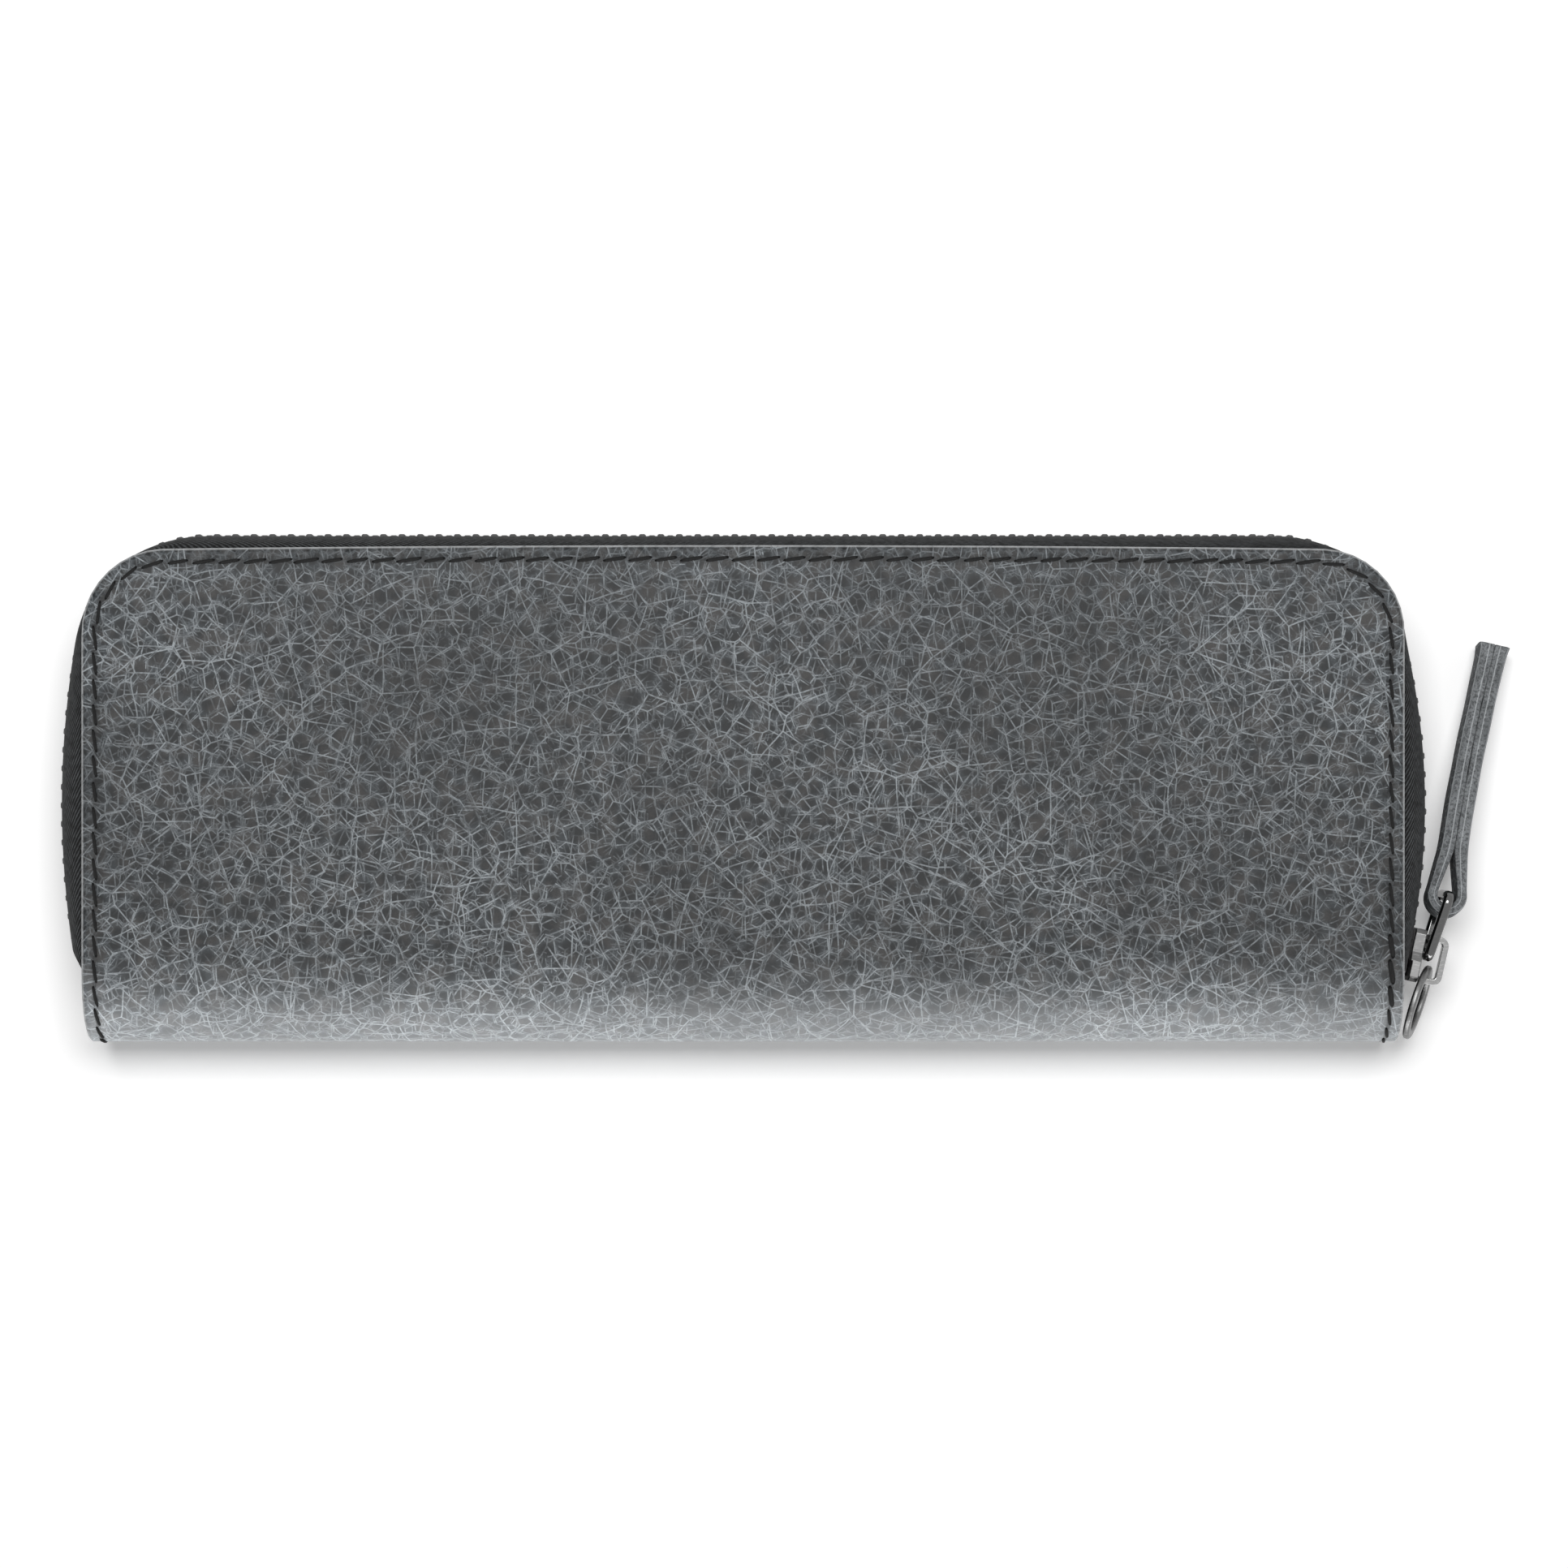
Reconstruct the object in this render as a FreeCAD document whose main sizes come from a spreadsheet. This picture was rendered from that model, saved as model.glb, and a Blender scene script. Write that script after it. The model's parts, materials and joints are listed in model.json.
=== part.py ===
"""A zip-around leather pen case lying on its back: +X along its length, the fold at -Y, +Z up."""
import FreeCAD, Part
import math
import os

import Sketcher
from FreeCAD import Placement, Rotation, Vector

doc = FreeCAD.newDocument("pen_case")

# Driving dimensions, in millimetres and degrees
SIZES = {
    "panel_length": 200.0,
    "panel_width": 75.0,
    "case_thickness": 22.0,
    "corner_radius": 12.5,
    "leather_thickness": 1.5,
    "board_thickness": 0.7,
    "lining_thickness": 0.7,
    "lining_inset": 1.0,
    "fold_split_angle": 45.0,
    "tape_thickness": 0.7,
    "tape_flange": 6.0,
    "tape_edge_gap": 1.4,
    "tape_end_gap": 0.3,
    "tape_tuck": 3.5,
    "board_gap": 0.4,
    "zip_bulge_side": 3.8,
    "zip_bulge_top": 2.15,
    "zip_left_radius": 140.0,
    "zip_right_radius": 100.0,
    "zip_side_middle": -1.0,
    "zip_corner_radius": 20.0,
    "tooth_pitch": 2.83,
    "tooth_thickness": 1.2,
    "tooth_depth": 1.7,
    "tooth_reach": 1.15,
    "tooth_leg": 1.2,
    "tooth_nose": 0.6,
    "crimp_clearance": 0.03,
    "stop_length": 1.2,
    "slider_middle": 3.0,
    "slider_mouth": 4.6,
    "slider_tail": 3.6,
    "slider_shoulder": 1.4,
    "plate_thickness": 1.4,
    "flange_thickness": 0.7,
    "chain_clearance": 0.3,
    "mouth_spread": 0.9,
    "tape_slot": 1.7,
    "post_length": 2.6,
    "post_width": 1.8,
    "post_setback": 0.6,
    "crown_width": 1.8,
    "crown_height": 4.1,
    "crown_thickness": 0.9,
    "crown_bend": 0.5,
    "crown_start": 0.1,
    "crown_end": 0.6,
    "link_bar": 1.5,
    "link_length": 9.8,
    "link_bend": 0.55,
    "link_bevel": 0.35,
    "link_clearance": 0.3,
    "link_narrow_end": 4.6,
    "link_wide_end": 7.4,
    "link_angle": 72.0,
    "link_place": -0.3,
    "ring_diameter": 11.8,
    "ring_band": 1.5,
    "ring_thickness": 1.0,
    "ring_chamfer": 0.25,
    "ring_place": -2.4,
    "ring_standoff": 1.9,
    "ring_hang_angle": 252.0,
    "ring_lean": 15.0,
    "strap_length": 40.0,
    "strap_width": 4.6,
    "strap_layer": 2.15,
    "strap_loop_wall": 1.6,
    "strap_loop_length": 9.0,
    "strap_eye_radius": 1.5,
    "strap_eye_length": 6.5,
    "strap_eye_offset": -0.35,
    "strap_angle": 77.4,
    "strap_droop": 11.5,
    "loop_bore": 14.0,
    "loop_leg": 6.6,
    "loop_wall": 1.0,
    "loop_spacing": 19.0,
    "loop_foot": 2.4,
    "band_width": 30.0,
    "band_place": -18.0,
    "band_middle": 4.5,
}
LOOP_COUNT = 3

sheet = doc.addObject("Spreadsheet::Sheet", "sizes")
for row, (alias, value) in enumerate(SIZES.items(), start=1):
    sheet.set(f"A{row}", alias)
    sheet.set(f"B{row}", str(value))
    sheet.setAlias(f"B{row}", alias)
doc.recompute()


def size(alias):
    return float(sheet.get(alias))


# Places worked out from the driving dimensions
half_length = size("panel_length") / 2
half_width = size("panel_width") / 2
fold_radius = size("case_thickness") / 2
mid_height = fold_radius
fold_line = fold_radius - half_width
core_layer = max(size("board_thickness"), size("tape_thickness"))
lining_low = size("leather_thickness") + core_layer
lining_high = lining_low + size("lining_thickness")
tape_end = fold_line + size("tape_end_gap")
tooth_root = size("tape_edge_gap") + size("tooth_leg")
UP = Vector(0, 0, 1)


def origin_plane(body, role):
    return next(item for item in body.Origin.OriginFeatures if item.Role == role)


def new_body(label):
    body = doc.addObject("PartDesign::Body", label)
    body.Label = label
    return body


def new_sketch(body, role, name):
    sketch = body.newObject("Sketcher::SketchObject", name)
    sketch.AttachmentSupport = [(origin_plane(body, role), "")]
    sketch.MapMode = "FlatFace"
    return sketch


def draw(sketch, path):
    """Adds a closed run of lines and arcs, joined end to end, and returns their numbers.

    A line is a pair of points; an arc is a centre, a radius and two angles in degrees, in drawing order.
    """
    ends = []
    for piece in path:
        if len(piece) == 2:
            start, stop = (Vector(*point, 0) for point in piece)
            ends.append((sketch.addGeometry(Part.LineSegment(start, stop)), 1, 2))
            continue
        centre, radius, first, last = piece
        circle = Part.Circle(Vector(*centre, 0), UP, radius)
        low, high = sorted((math.radians(first), math.radians(last)))
        number = sketch.addGeometry(Part.ArcOfCircle(circle, low, high))
        ends.append((number, 1, 2) if last > first else (number, 2, 1))
    for this, following in zip(ends, ends[1:] + ends[:1]):
        sketch.addConstraint(Sketcher.Constraint("Coincident", this[0], this[2], following[0], following[1]))
    return [end[0] for end in ends]


def bind(sketch, expression, *constraint):
    number = sketch.addConstraint(Sketcher.Constraint(*constraint))
    sketch.setExpression(f"Constraints[{number}]", expression)


def polygon(points):
    return list(zip(points, points[1:] + points[:1]))


def polar(centre, radius, degrees):
    angle = math.radians(degrees)
    return centre[0] + radius * math.cos(angle), centre[1] + radius * math.sin(angle)


def upright_edges(shape, places, reach=0.01):
    """Names of the edges along Z that stand at the given X, Y places."""
    names = []
    for number, edge in enumerate(shape.Edges, start=1):
        start, stop = edge.Vertexes[0].Point, edge.Vertexes[-1].Point
        upright = abs(start.x - stop.x) < reach and abs(start.y - stop.y) < reach
        if upright and any(math.hypot(start.x - x, start.y - y) < reach for x, y in places):
            names.append(f"Edge{number}")
    return names


# Covers, boards and linings: a profile across the fold, carried along the case, with its free corners rounded
def fold_profile(low, high, free_edge, side):
    """A layer between two depths below the outer face: a flat panel that runs on into its share of the fold."""
    centre = (fold_line, mid_height)
    turn = size("fold_split_angle")
    outer, inner = fold_radius - low, fold_radius - high
    first, last = side * 90, side * (90 + turn)
    flat_outer, flat_inner = mid_height + side * outer, mid_height + side * inner
    return [
        ((free_edge, flat_outer), (fold_line, flat_outer)),
        (centre, outer, first, last),
        (polar(centre, outer, last), polar(centre, inner, last)),
        (centre, inner, last, first),
        ((fold_line, flat_inner), (free_edge, flat_inner)),
        ((free_edge, flat_inner), (free_edge, flat_outer)),
    ]


def spine_profile(low, high):
    """The middle of the fold, between the two splits."""
    centre = (fold_line, mid_height)
    turn = size("fold_split_angle")
    outer, inner = fold_radius - low, fold_radius - high
    first, last = 90 + turn, 270 - turn
    return [
        (centre, outer, first, last),
        (polar(centre, outer, last), polar(centre, inner, last)),
        (centre, inner, last, first),
        (polar(centre, inner, first), polar(centre, outer, first)),
    ]


def carried_layer(label, profile, arcs, inset, corners=True):
    """Pads a fold profile along the case; arcs names each arc's number and its radius as an expression."""
    body = new_body(label)
    sketch = new_sketch(body, "YZ_Plane", label + "_profile")
    numbers = draw(sketch, profile)
    for place, expression in arcs.items():
        radius = profile[place][1]
        bind(sketch, expression, "Radius", numbers[place], radius)
    pad = body.newObject("PartDesign::Pad", label + "_pad")
    pad.Profile = sketch
    pad.Midplane = True
    pad.setExpression("Length", f"sizes.panel_length - 2 * {inset}")
    doc.recompute()
    if corners:
        free_edge = max(vertex.Y for vertex in pad.Shape.Vertexes)
        reach = max(vertex.X for vertex in pad.Shape.Vertexes)
        rounded = body.newObject("PartDesign::Fillet", label + "_corners")
        rounded.Base = (pad, upright_edges(pad.Shape, [(reach, free_edge), (-reach, free_edge)]))
        rounded.setExpression("Radius", f"sizes.corner_radius - {inset}")
    return body


OUTER = "sizes.case_thickness / 2"
LEATHER = OUTER + " - sizes.leather_thickness"
LINING_OUTER = LEATHER + " - max(sizes.board_thickness; sizes.tape_thickness)"
LINING_INNER = LINING_OUTER + " - sizes.lining_thickness"
BACK, FRONT = -1, 1

sides = {"back": BACK, "front": FRONT}
inset = size("lining_inset")
parts = []
for name, side in sides.items():
    cover = fold_profile(0, size("leather_thickness"), half_width, side)
    parts.append(carried_layer(name + "_cover", cover, {1: OUTER, 3: LEATHER}, "0"))
    lining = fold_profile(lining_low, lining_high, half_width - inset, side)
    arcs = {1: LINING_OUTER, 3: LINING_INNER}
    parts.append(carried_layer(name + "_lining", lining, arcs, "sizes.lining_inset"))
spine = spine_profile(0, size("leather_thickness"))
parts.append(carried_layer("spine_fold", spine, {0: OUTER, 2: LEATHER}, "0", corners=False))
spine = spine_profile(lining_low, lining_high)
arcs = {0: LINING_OUTER, 2: LINING_INNER}
parts.append(carried_layer("spine_lining", spine, arcs, "sizes.lining_inset", corners=False))


def stiffener(label, low):
    """A board inside the zip tape's sewn margin."""
    body = new_body(label)
    margin = size("tape_flange") + size("board_gap")
    right, top = half_length - margin, half_width - margin
    sketch = new_sketch(body, "XY_Plane", label + "_outline")
    corners = [(-right, fold_line), (right, fold_line), (right, top), (-right, top)]
    lines = draw(sketch, polygon(corners))
    for number in (0, 2):
        sketch.addConstraint(Sketcher.Constraint("Horizontal", lines[number]))
    width = "sizes.panel_length - 2 * (sizes.tape_flange + sizes.board_gap)"
    bind(sketch, width, "DistanceX", lines[0], 1, lines[0], 2, 2 * right)
    pad = body.newObject("PartDesign::Pad", label + "_pad")
    pad.Profile = sketch
    pad.setExpression("Length", "sizes.board_thickness")
    doc.recompute()
    rounded = body.newObject("PartDesign::Fillet", label + "_corners")
    rounded.Base = (pad, upright_edges(pad.Shape, [(right, top), (-right, top)]))
    rounded.setExpression("Radius", "sizes.corner_radius - sizes.tape_flange")
    body.Placement = Placement(Vector(0, 0, low), Rotation())
    return body


parts.append(stiffener("back_board", size("leather_thickness")))
front_low = size("case_thickness") - size("leather_thickness") - size("board_thickness")
parts.append(stiffener("front_board", front_low))


# The zip's course round the case: side arcs, corner arcs and a straight top
def zip_course(share, grow, low_end):
    """The course at a share of the full bulge, offset outwards by grow, from the right end round to the left.

    The left end is cut on a slant: the further out the course is, the sooner it stops.
    """
    share = max(share, 0.02)
    top = half_width + share * size("zip_bulge_top") + grow
    corner = size("corner_radius") + share * (size("zip_corner_radius") - size("corner_radius")) + grow
    peak = half_length + share * size("zip_bulge_side") + grow
    middle = size("zip_side_middle")
    runs = []
    for way, alias in ((1, "zip_right_radius"), (-1, "zip_left_radius")):
        radius = size(alias) / share + grow
        centre = way * (peak - radius)
        rise = top - corner - middle
        reach = math.sqrt((radius - corner) ** 2 - rise ** 2)
        bend = centre + way * reach
        top_angle = math.atan2(rise, reach)
        low = low_end if way > 0 else low_end + share * size("tape_tuck")
        low_angle = math.asin((low - middle) / radius)
        runs.append((way, centre, middle, radius, low_angle, top_angle, bend, top - corner, corner, top))
    return runs


def course_edges(runs, height):
    """Edges of the course, anticlockwise from the right-hand end, at one height."""
    edges = []
    for way, centre, middle, radius, low, high, bend, level, corner, top in runs:
        side = Part.Circle(Vector(centre, middle, height), UP, radius)
        turn = Part.Circle(Vector(bend, level, height), UP, corner)
        spans = [(side, low, high), (turn, high, math.pi / 2)]
        if way < 0:
            spans = [(circle, math.pi - last, math.pi - first) for circle, first, last in reversed(spans)]
        edges.append([Part.ArcOfCircle(circle, first, last).toShape() for circle, first, last in spans])
    start = Vector(runs[0][6], runs[0][9], height)
    stop = Vector(runs[1][6], runs[1][9], height)
    return edges[0] + [Part.LineSegment(start, stop).toShape()] + edges[1]


def course_outline(share, grow, low_end, height):
    """The course closed by a straight line between its two ends."""
    edges = course_edges(zip_course(share, grow, low_end), height)
    first, last = edges[0].Vertexes[0].Point, edges[-1].Vertexes[-1].Point
    return Part.Wire(edges + [Part.LineSegment(last, first).toShape()])


def bulging_solid(way, low_end, top_height):
    """Everything inside one face of the tape: a quarter-ellipse gusset, then an upright band at the teeth."""
    thickness = size("tape_thickness")
    foot = size("leather_thickness") + (0 if way > 0 else thickness)
    shoulder = mid_height - tooth_root
    outlines = []
    for degrees in (0, 30, 60, 90):
        share = math.sin(math.radians(degrees))
        height = foot + (shoulder - foot) * (1 - math.cos(math.radians(degrees)))
        outlines.append(course_outline(share, way * share * thickness / 2, low_end, height))
    outlines.append(course_outline(1, way * thickness / 2, low_end, top_height))
    return Part.makeLoft(outlines, True, True)


def tape_shape():
    """The back tape: a flat sewn margin, the bulging gusset and the band that the teeth grip."""
    edge = mid_height - size("tape_edge_gap")
    beyond = tape_end - size("tape_flange")
    tape = bulging_solid(1, tape_end, edge).cut(bulging_solid(-1, beyond, edge + 1))
    inner = course_outline(0, -size("tape_flange"), beyond, 0)
    return tape.cut(Part.Face(inner).extrude(Vector(0, 0, edge)))


def feature(label, shape):
    item = doc.addObject("Part::Feature", label)
    item.Label = label
    item.Shape = shape
    return item


def turned_over(shape):
    """The same piece on the front half, mirrored about the case's middle height."""
    return shape.mirror(Vector(0, 0, mid_height), UP)


back_tape = tape_shape()
parts.append(feature("back_tape", back_tape))
parts.append(feature("front_tape", turned_over(back_tape)))


# Teeth: each one is crimped over the tape's edge and reaches past the middle, between two of the other row
chain_runs = zip_course(1, 0, tape_end)


def chain_place(distance):
    """The point and outward angle at a distance along the chain, from its left end clockwise to its right."""
    right, left = chain_runs
    spans = [
        (left[3], left[5] - left[4]),
        (left[8], math.pi / 2 - left[5]),
        (None, right[6] - left[6]),
        (right[8], math.pi / 2 - right[5]),
        (right[3], right[5] - right[4]),
    ]
    for number, (radius, extent) in enumerate(spans):
        length = extent if radius is None else radius * extent
        if distance <= length or number == len(spans) - 1:
            break
        distance -= length
    if number == 2:
        return Vector(left[6] + distance, left[9], 0), math.pi / 2
    turned = distance / spans[number][0]
    run, start = {
        0: ((left[1], left[2], left[3]), math.pi - left[4]),
        1: ((left[6], left[7], left[8]), math.pi - left[5]),
        3: ((right[6], right[7], right[8]), math.pi / 2),
        4: ((right[1], right[2], right[3]), right[5]),
    }[number]
    angle = start - turned
    return Vector(run[0] + run[2] * math.cos(angle), run[1] + run[2] * math.sin(angle), 0), angle


def chain_lengths():
    right, left = chain_runs
    left_side = left[3] * (left[5] - left[4]) + left[8] * (math.pi / 2 - left[5])
    to_right_side = left_side + right[6] - left[6] + right[8] * (math.pi / 2 - right[5])
    return to_right_side, to_right_side + right[3] * (right[5] - right[4])


def crimp(length, depth, leg, reach, nose):
    """A clamp over the tape's edge, pointing up: two legs with a slot for the tape, tapering to the nose."""
    slot = size("tape_thickness") / 2 + size("crimp_clearance")
    edge = size("crimp_clearance") - size("tape_edge_gap")
    low = edge - leg
    half = depth / 2
    section = [
        (half, low), (half - nose, reach), (nose - half, reach), (-half, low),
        (-slot, low), (-slot, edge), (slot, edge), (slot, low),
    ]
    points = [Vector(across, -length / 2, up) for across, up in section]
    return Part.Face(Part.makePolygon(points + points[:1])).extrude(Vector(0, length, 0))


def seated(shape, distance):
    """A copy of a clamp, carried to its place on the chain."""
    point, angle = chain_place(distance)
    copy = shape.copy()
    copy.Placement = Placement(point + Vector(0, 0, mid_height), Rotation(UP, math.degrees(angle)))
    return copy


tooth = crimp(size("tooth_thickness"), size("tooth_depth"), size("tooth_leg"), size("tooth_reach"), size("tooth_nose"))
stop_reach = -size("tape_edge_gap") + size("crimp_clearance") + size("tooth_nose") / 2
stop = crimp(size("stop_length"), size("tooth_depth"), size("tooth_leg"), stop_reach, size("tooth_nose") / 4)
right_start, chain_end = chain_lengths()
slider_turn = math.asin((tape_end + size("slider_middle") - chain_runs[0][2]) / chain_runs[0][3])
slider_distance = right_start + chain_runs[0][3] * (chain_runs[0][5] - slider_turn)

bottom_stop_place = size("stop_length")
first_tooth = bottom_stop_place + size("stop_length") / 2 + size("tooth_pitch") / 2
count = int((slider_distance - first_tooth) / size("tooth_pitch"))
for name, offset in (("back", 0), ("front", 0.5)):
    row = {"_teeth": [], "_teeth_right": []}
    for number in range(count):
        distance = first_tooth + (number + offset) * size("tooth_pitch")
        row["_teeth_right" if distance > right_start else "_teeth"].append(seated(tooth, distance))
    for ending, teeth in row.items():
        group = Part.makeCompound(teeth)
        parts.append(feature(name + ending, group if name == "back" else turned_over(group)))
top_stop_place = chain_end - size("tape_end_gap") - size("stop_length") / 2
bottom_stop = crimp(size("stop_length"), size("tooth_depth"), size("tooth_leg"), size("tooth_reach"), size("tooth_nose"))
parts.append(feature("bottom_stop", seated(bottom_stop, bottom_stop_place)))
parts.append(feature("back_top_stop", seated(stop, top_stop_place)))
parts.append(feature("front_top_stop", turned_over(seated(stop, top_stop_place))))


# Slider: drawn with X towards the closed chain, Y upwards and Z away from the case, then turned into place
slider_point, slider_angle = chain_place(slider_distance)
slider_frame = Placement(
    slider_point + Vector(0, 0, mid_height),
    Rotation(
        Vector(-math.sin(slider_angle), math.cos(slider_angle), 0),
        UP,
        Vector(math.cos(slider_angle), math.sin(slider_angle), 0),
        "ZXY",
    ),
)
channel_depth = size("tooth_depth") / 2 + size("chain_clearance")
plate_face = channel_depth + size("plate_thickness")
tail_inner = tooth_root + size("chain_clearance")
mouth_inner = tail_inner + size("mouth_spread")
tail_outer = tail_inner + size("flange_thickness")
mouth_outer = mouth_inner + size("flange_thickness")
PLATE_FACE = "(sizes.tooth_depth / 2 + sizes.chain_clearance + sizes.plate_thickness)"
CHANNEL = "(sizes.tooth_depth / 2 + sizes.chain_clearance)"


def mirrored_outline(upper):
    return polygon(upper + [(x, -y) for x, y in reversed(upper)])


def slider_pocket(body, name, paths, expression):
    """Cuts a drawn area out of the slider, evenly to both sides of the chain's middle."""
    sketch = new_sketch(body, "XY_Plane", name + "_outline")
    for path in paths:
        draw(sketch, path)
    pocket = body.newObject("PartDesign::Pocket", name)
    pocket.Profile = sketch
    pocket.Midplane = True
    pocket.setExpression("Length", expression)
    doc.recompute()


def slider():
    body = new_body("slider_body")
    tail, mouth, shoulder = size("slider_tail"), -size("slider_mouth"), -size("slider_shoulder")
    round_off = size("flange_thickness")
    sketch = new_sketch(body, "XY_Plane", "slider_outline")
    outer = [
        (mouth, mouth_outer - round_off), (mouth + round_off, mouth_outer), (shoulder, mouth_outer),
        (0, tail_outer), (tail - round_off, tail_outer), (tail, tail_outer - round_off),
    ]
    draw(sketch, mirrored_outline(outer))
    pad = body.newObject("PartDesign::Pad", "slider_block")
    pad.Profile = sketch
    pad.Midplane = True
    pad.setExpression("Length", "2 * " + PLATE_FACE)
    doc.recompute()
    beyond = size("plate_thickness")
    channel = [
        (mouth - beyond, mouth_inner), (shoulder, mouth_inner), (0, tail_inner), (tail + beyond, tail_inner),
    ]
    post_start = mouth + size("post_setback")
    post_middle = post_start + size("post_length") / 2
    post = [
        (post_start, 0), (post_middle, -size("post_width") / 2),
        (post_start + size("post_length"), 0), (post_middle, size("post_width") / 2),
    ]
    slider_pocket(body, "chain_channel", [mirrored_outline(channel), polygon(post)], "2 * " + CHANNEL)
    clear = mouth_outer + beyond
    for name, start, stop, expression in (
        ("tape_slot", shoulder, tail + beyond, "sizes.tape_slot"),
        ("mouth_slot", mouth - beyond, shoulder, "2 * " + CHANNEL),
    ):
        low = tail_inner - size("chain_clearance")
        upper = polygon([(start, low), (stop, low), (stop, clear), (start, clear)])
        lower = polygon([(start, -low), (stop, -low), (stop, -clear), (start, -clear)])
        slider_pocket(body, name, [upper, lower], expression)
    body.Placement = slider_frame
    return body


def crown():
    """The bridge on the outer plate that the pull pieces pass under."""
    body = new_body("slider_crown")
    start = -size("slider_mouth") + size("crown_start")
    stop = size("slider_tail") - size("crown_end")
    wall, height = size("crown_thickness"), size("crown_height")
    foot, roof = plate_face, plate_face + height
    bend = wall + size("crown_bend")
    sketch = new_sketch(body, "XZ_Plane", "crown_profile")
    draw(sketch, [
        ((start, foot), (start, roof - bend)),
        ((start + bend, roof - bend), bend, 180, 90),
        ((start + bend, roof), (stop - bend, roof)),
        ((stop - bend, roof - bend), bend, 90, 0),
        ((stop, roof - bend), (stop, foot)),
        ((stop, foot), (stop - wall, foot)),
        ((stop - wall, foot), (stop - wall, roof - bend)),
        ((stop - bend, roof - bend), bend - wall, 0, 90),
        ((stop - bend, roof - wall), (start + bend, roof - wall)),
        ((start + bend, roof - bend), bend - wall, 90, 180),
        ((start + wall, roof - bend), (start + wall, foot)),
        ((start + wall, foot), (start, foot)),
    ])
    pad = body.newObject("PartDesign::Pad", "crown_pad")
    pad.Profile = sketch
    pad.Midplane = True
    pad.setExpression("Length", "sizes.crown_width")
    body.Placement = slider_frame
    return body


parts.append(slider())
parts.append(crown())


# Pull pieces: a link through the crown, the folded strap on the link, and a flat ring through the crown
def on_slider(along, outwards):
    return slider_frame.multVec(Vector(along, 0, outwards))


link_pivot = on_slider(size("link_place"), plate_face + size("link_bar") / 2 + size("link_clearance"))
link_heading = math.radians(size("link_angle"))
strap_pivot = link_pivot + Vector(math.cos(link_heading), math.sin(link_heading), 0) * size("link_length")
ring_pivot = on_slider(size("ring_place"), plate_face + size("ring_standoff"))


def rounded_outline(corners, radius):
    """A closed anticlockwise run of lines through the corners, each corner rounded to the radius."""
    bends = []
    for before, corner, after in zip(corners[-1:] + corners[:-1], corners, corners[1:] + corners[:1]):
        arriving = math.atan2(corner[1] - before[1], corner[0] - before[0])
        leaving = math.atan2(after[1] - corner[1], after[0] - corner[0])
        turn = (leaving - arriving) % (2 * math.pi)
        middle = arriving + turn / 2 + math.pi / 2
        centre = polar(corner, radius / math.cos(turn / 2), math.degrees(middle))
        first = math.degrees(arriving) - 90
        bends.append((centre, radius, first, first + math.degrees(turn)))
    path = []
    for bend, following in zip(bends, bends[1:] + bends[:1]):
        stop = polar(bend[0], radius, bend[3])
        path += [bend, (stop, polar(following[0], radius, following[2]))]
    return path


def link():
    """A flat bevelled loop whose sides spread from the crown towards the strap."""
    body = new_body("pull_link")
    bar, bend = size("link_bar"), size("link_bend")
    low, high = bar / 2, size("link_length") - bar / 2
    narrow, wide = size("link_narrow_end") / 2, size("link_wide_end") / 2
    window = [(low, -narrow), (high, -wide), (high, wide), (low, narrow)]
    slope = (wide - narrow) / (high - low)
    side = bar * math.hypot(1, slope)
    foot, head = narrow - slope * bar + side, wide + slope * bar + side
    outside = [(low - bar, -foot), (high + bar, -head), (high + bar, head), (low - bar, foot)]
    sketch = new_sketch(body, "XY_Plane", "link_outline")
    draw(sketch, rounded_outline(outside, bend + bar))
    draw(sketch, rounded_outline(window, bend))
    pad = body.newObject("PartDesign::Pad", "link_pad")
    pad.Profile = sketch
    pad.Midplane = True
    pad.setExpression("Length", "sizes.link_bar")
    doc.recompute()
    rims = [
        f"Edge{number}" for number, edge in enumerate(pad.Shape.Edges, start=1)
        if abs(edge.Vertexes[0].Z - edge.Vertexes[-1].Z) < bar / 2
    ]
    bevel = body.newObject("PartDesign::Chamfer", "link_bevels")
    bevel.Base = (pad, rims)
    bevel.setExpression("Size", "sizes.link_bevel")
    heading = Rotation(UP, size("link_angle")).multiply(Rotation(Vector(1, 0, 0), 90))
    body.Placement = Placement(link_pivot, heading)
    return body


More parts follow.
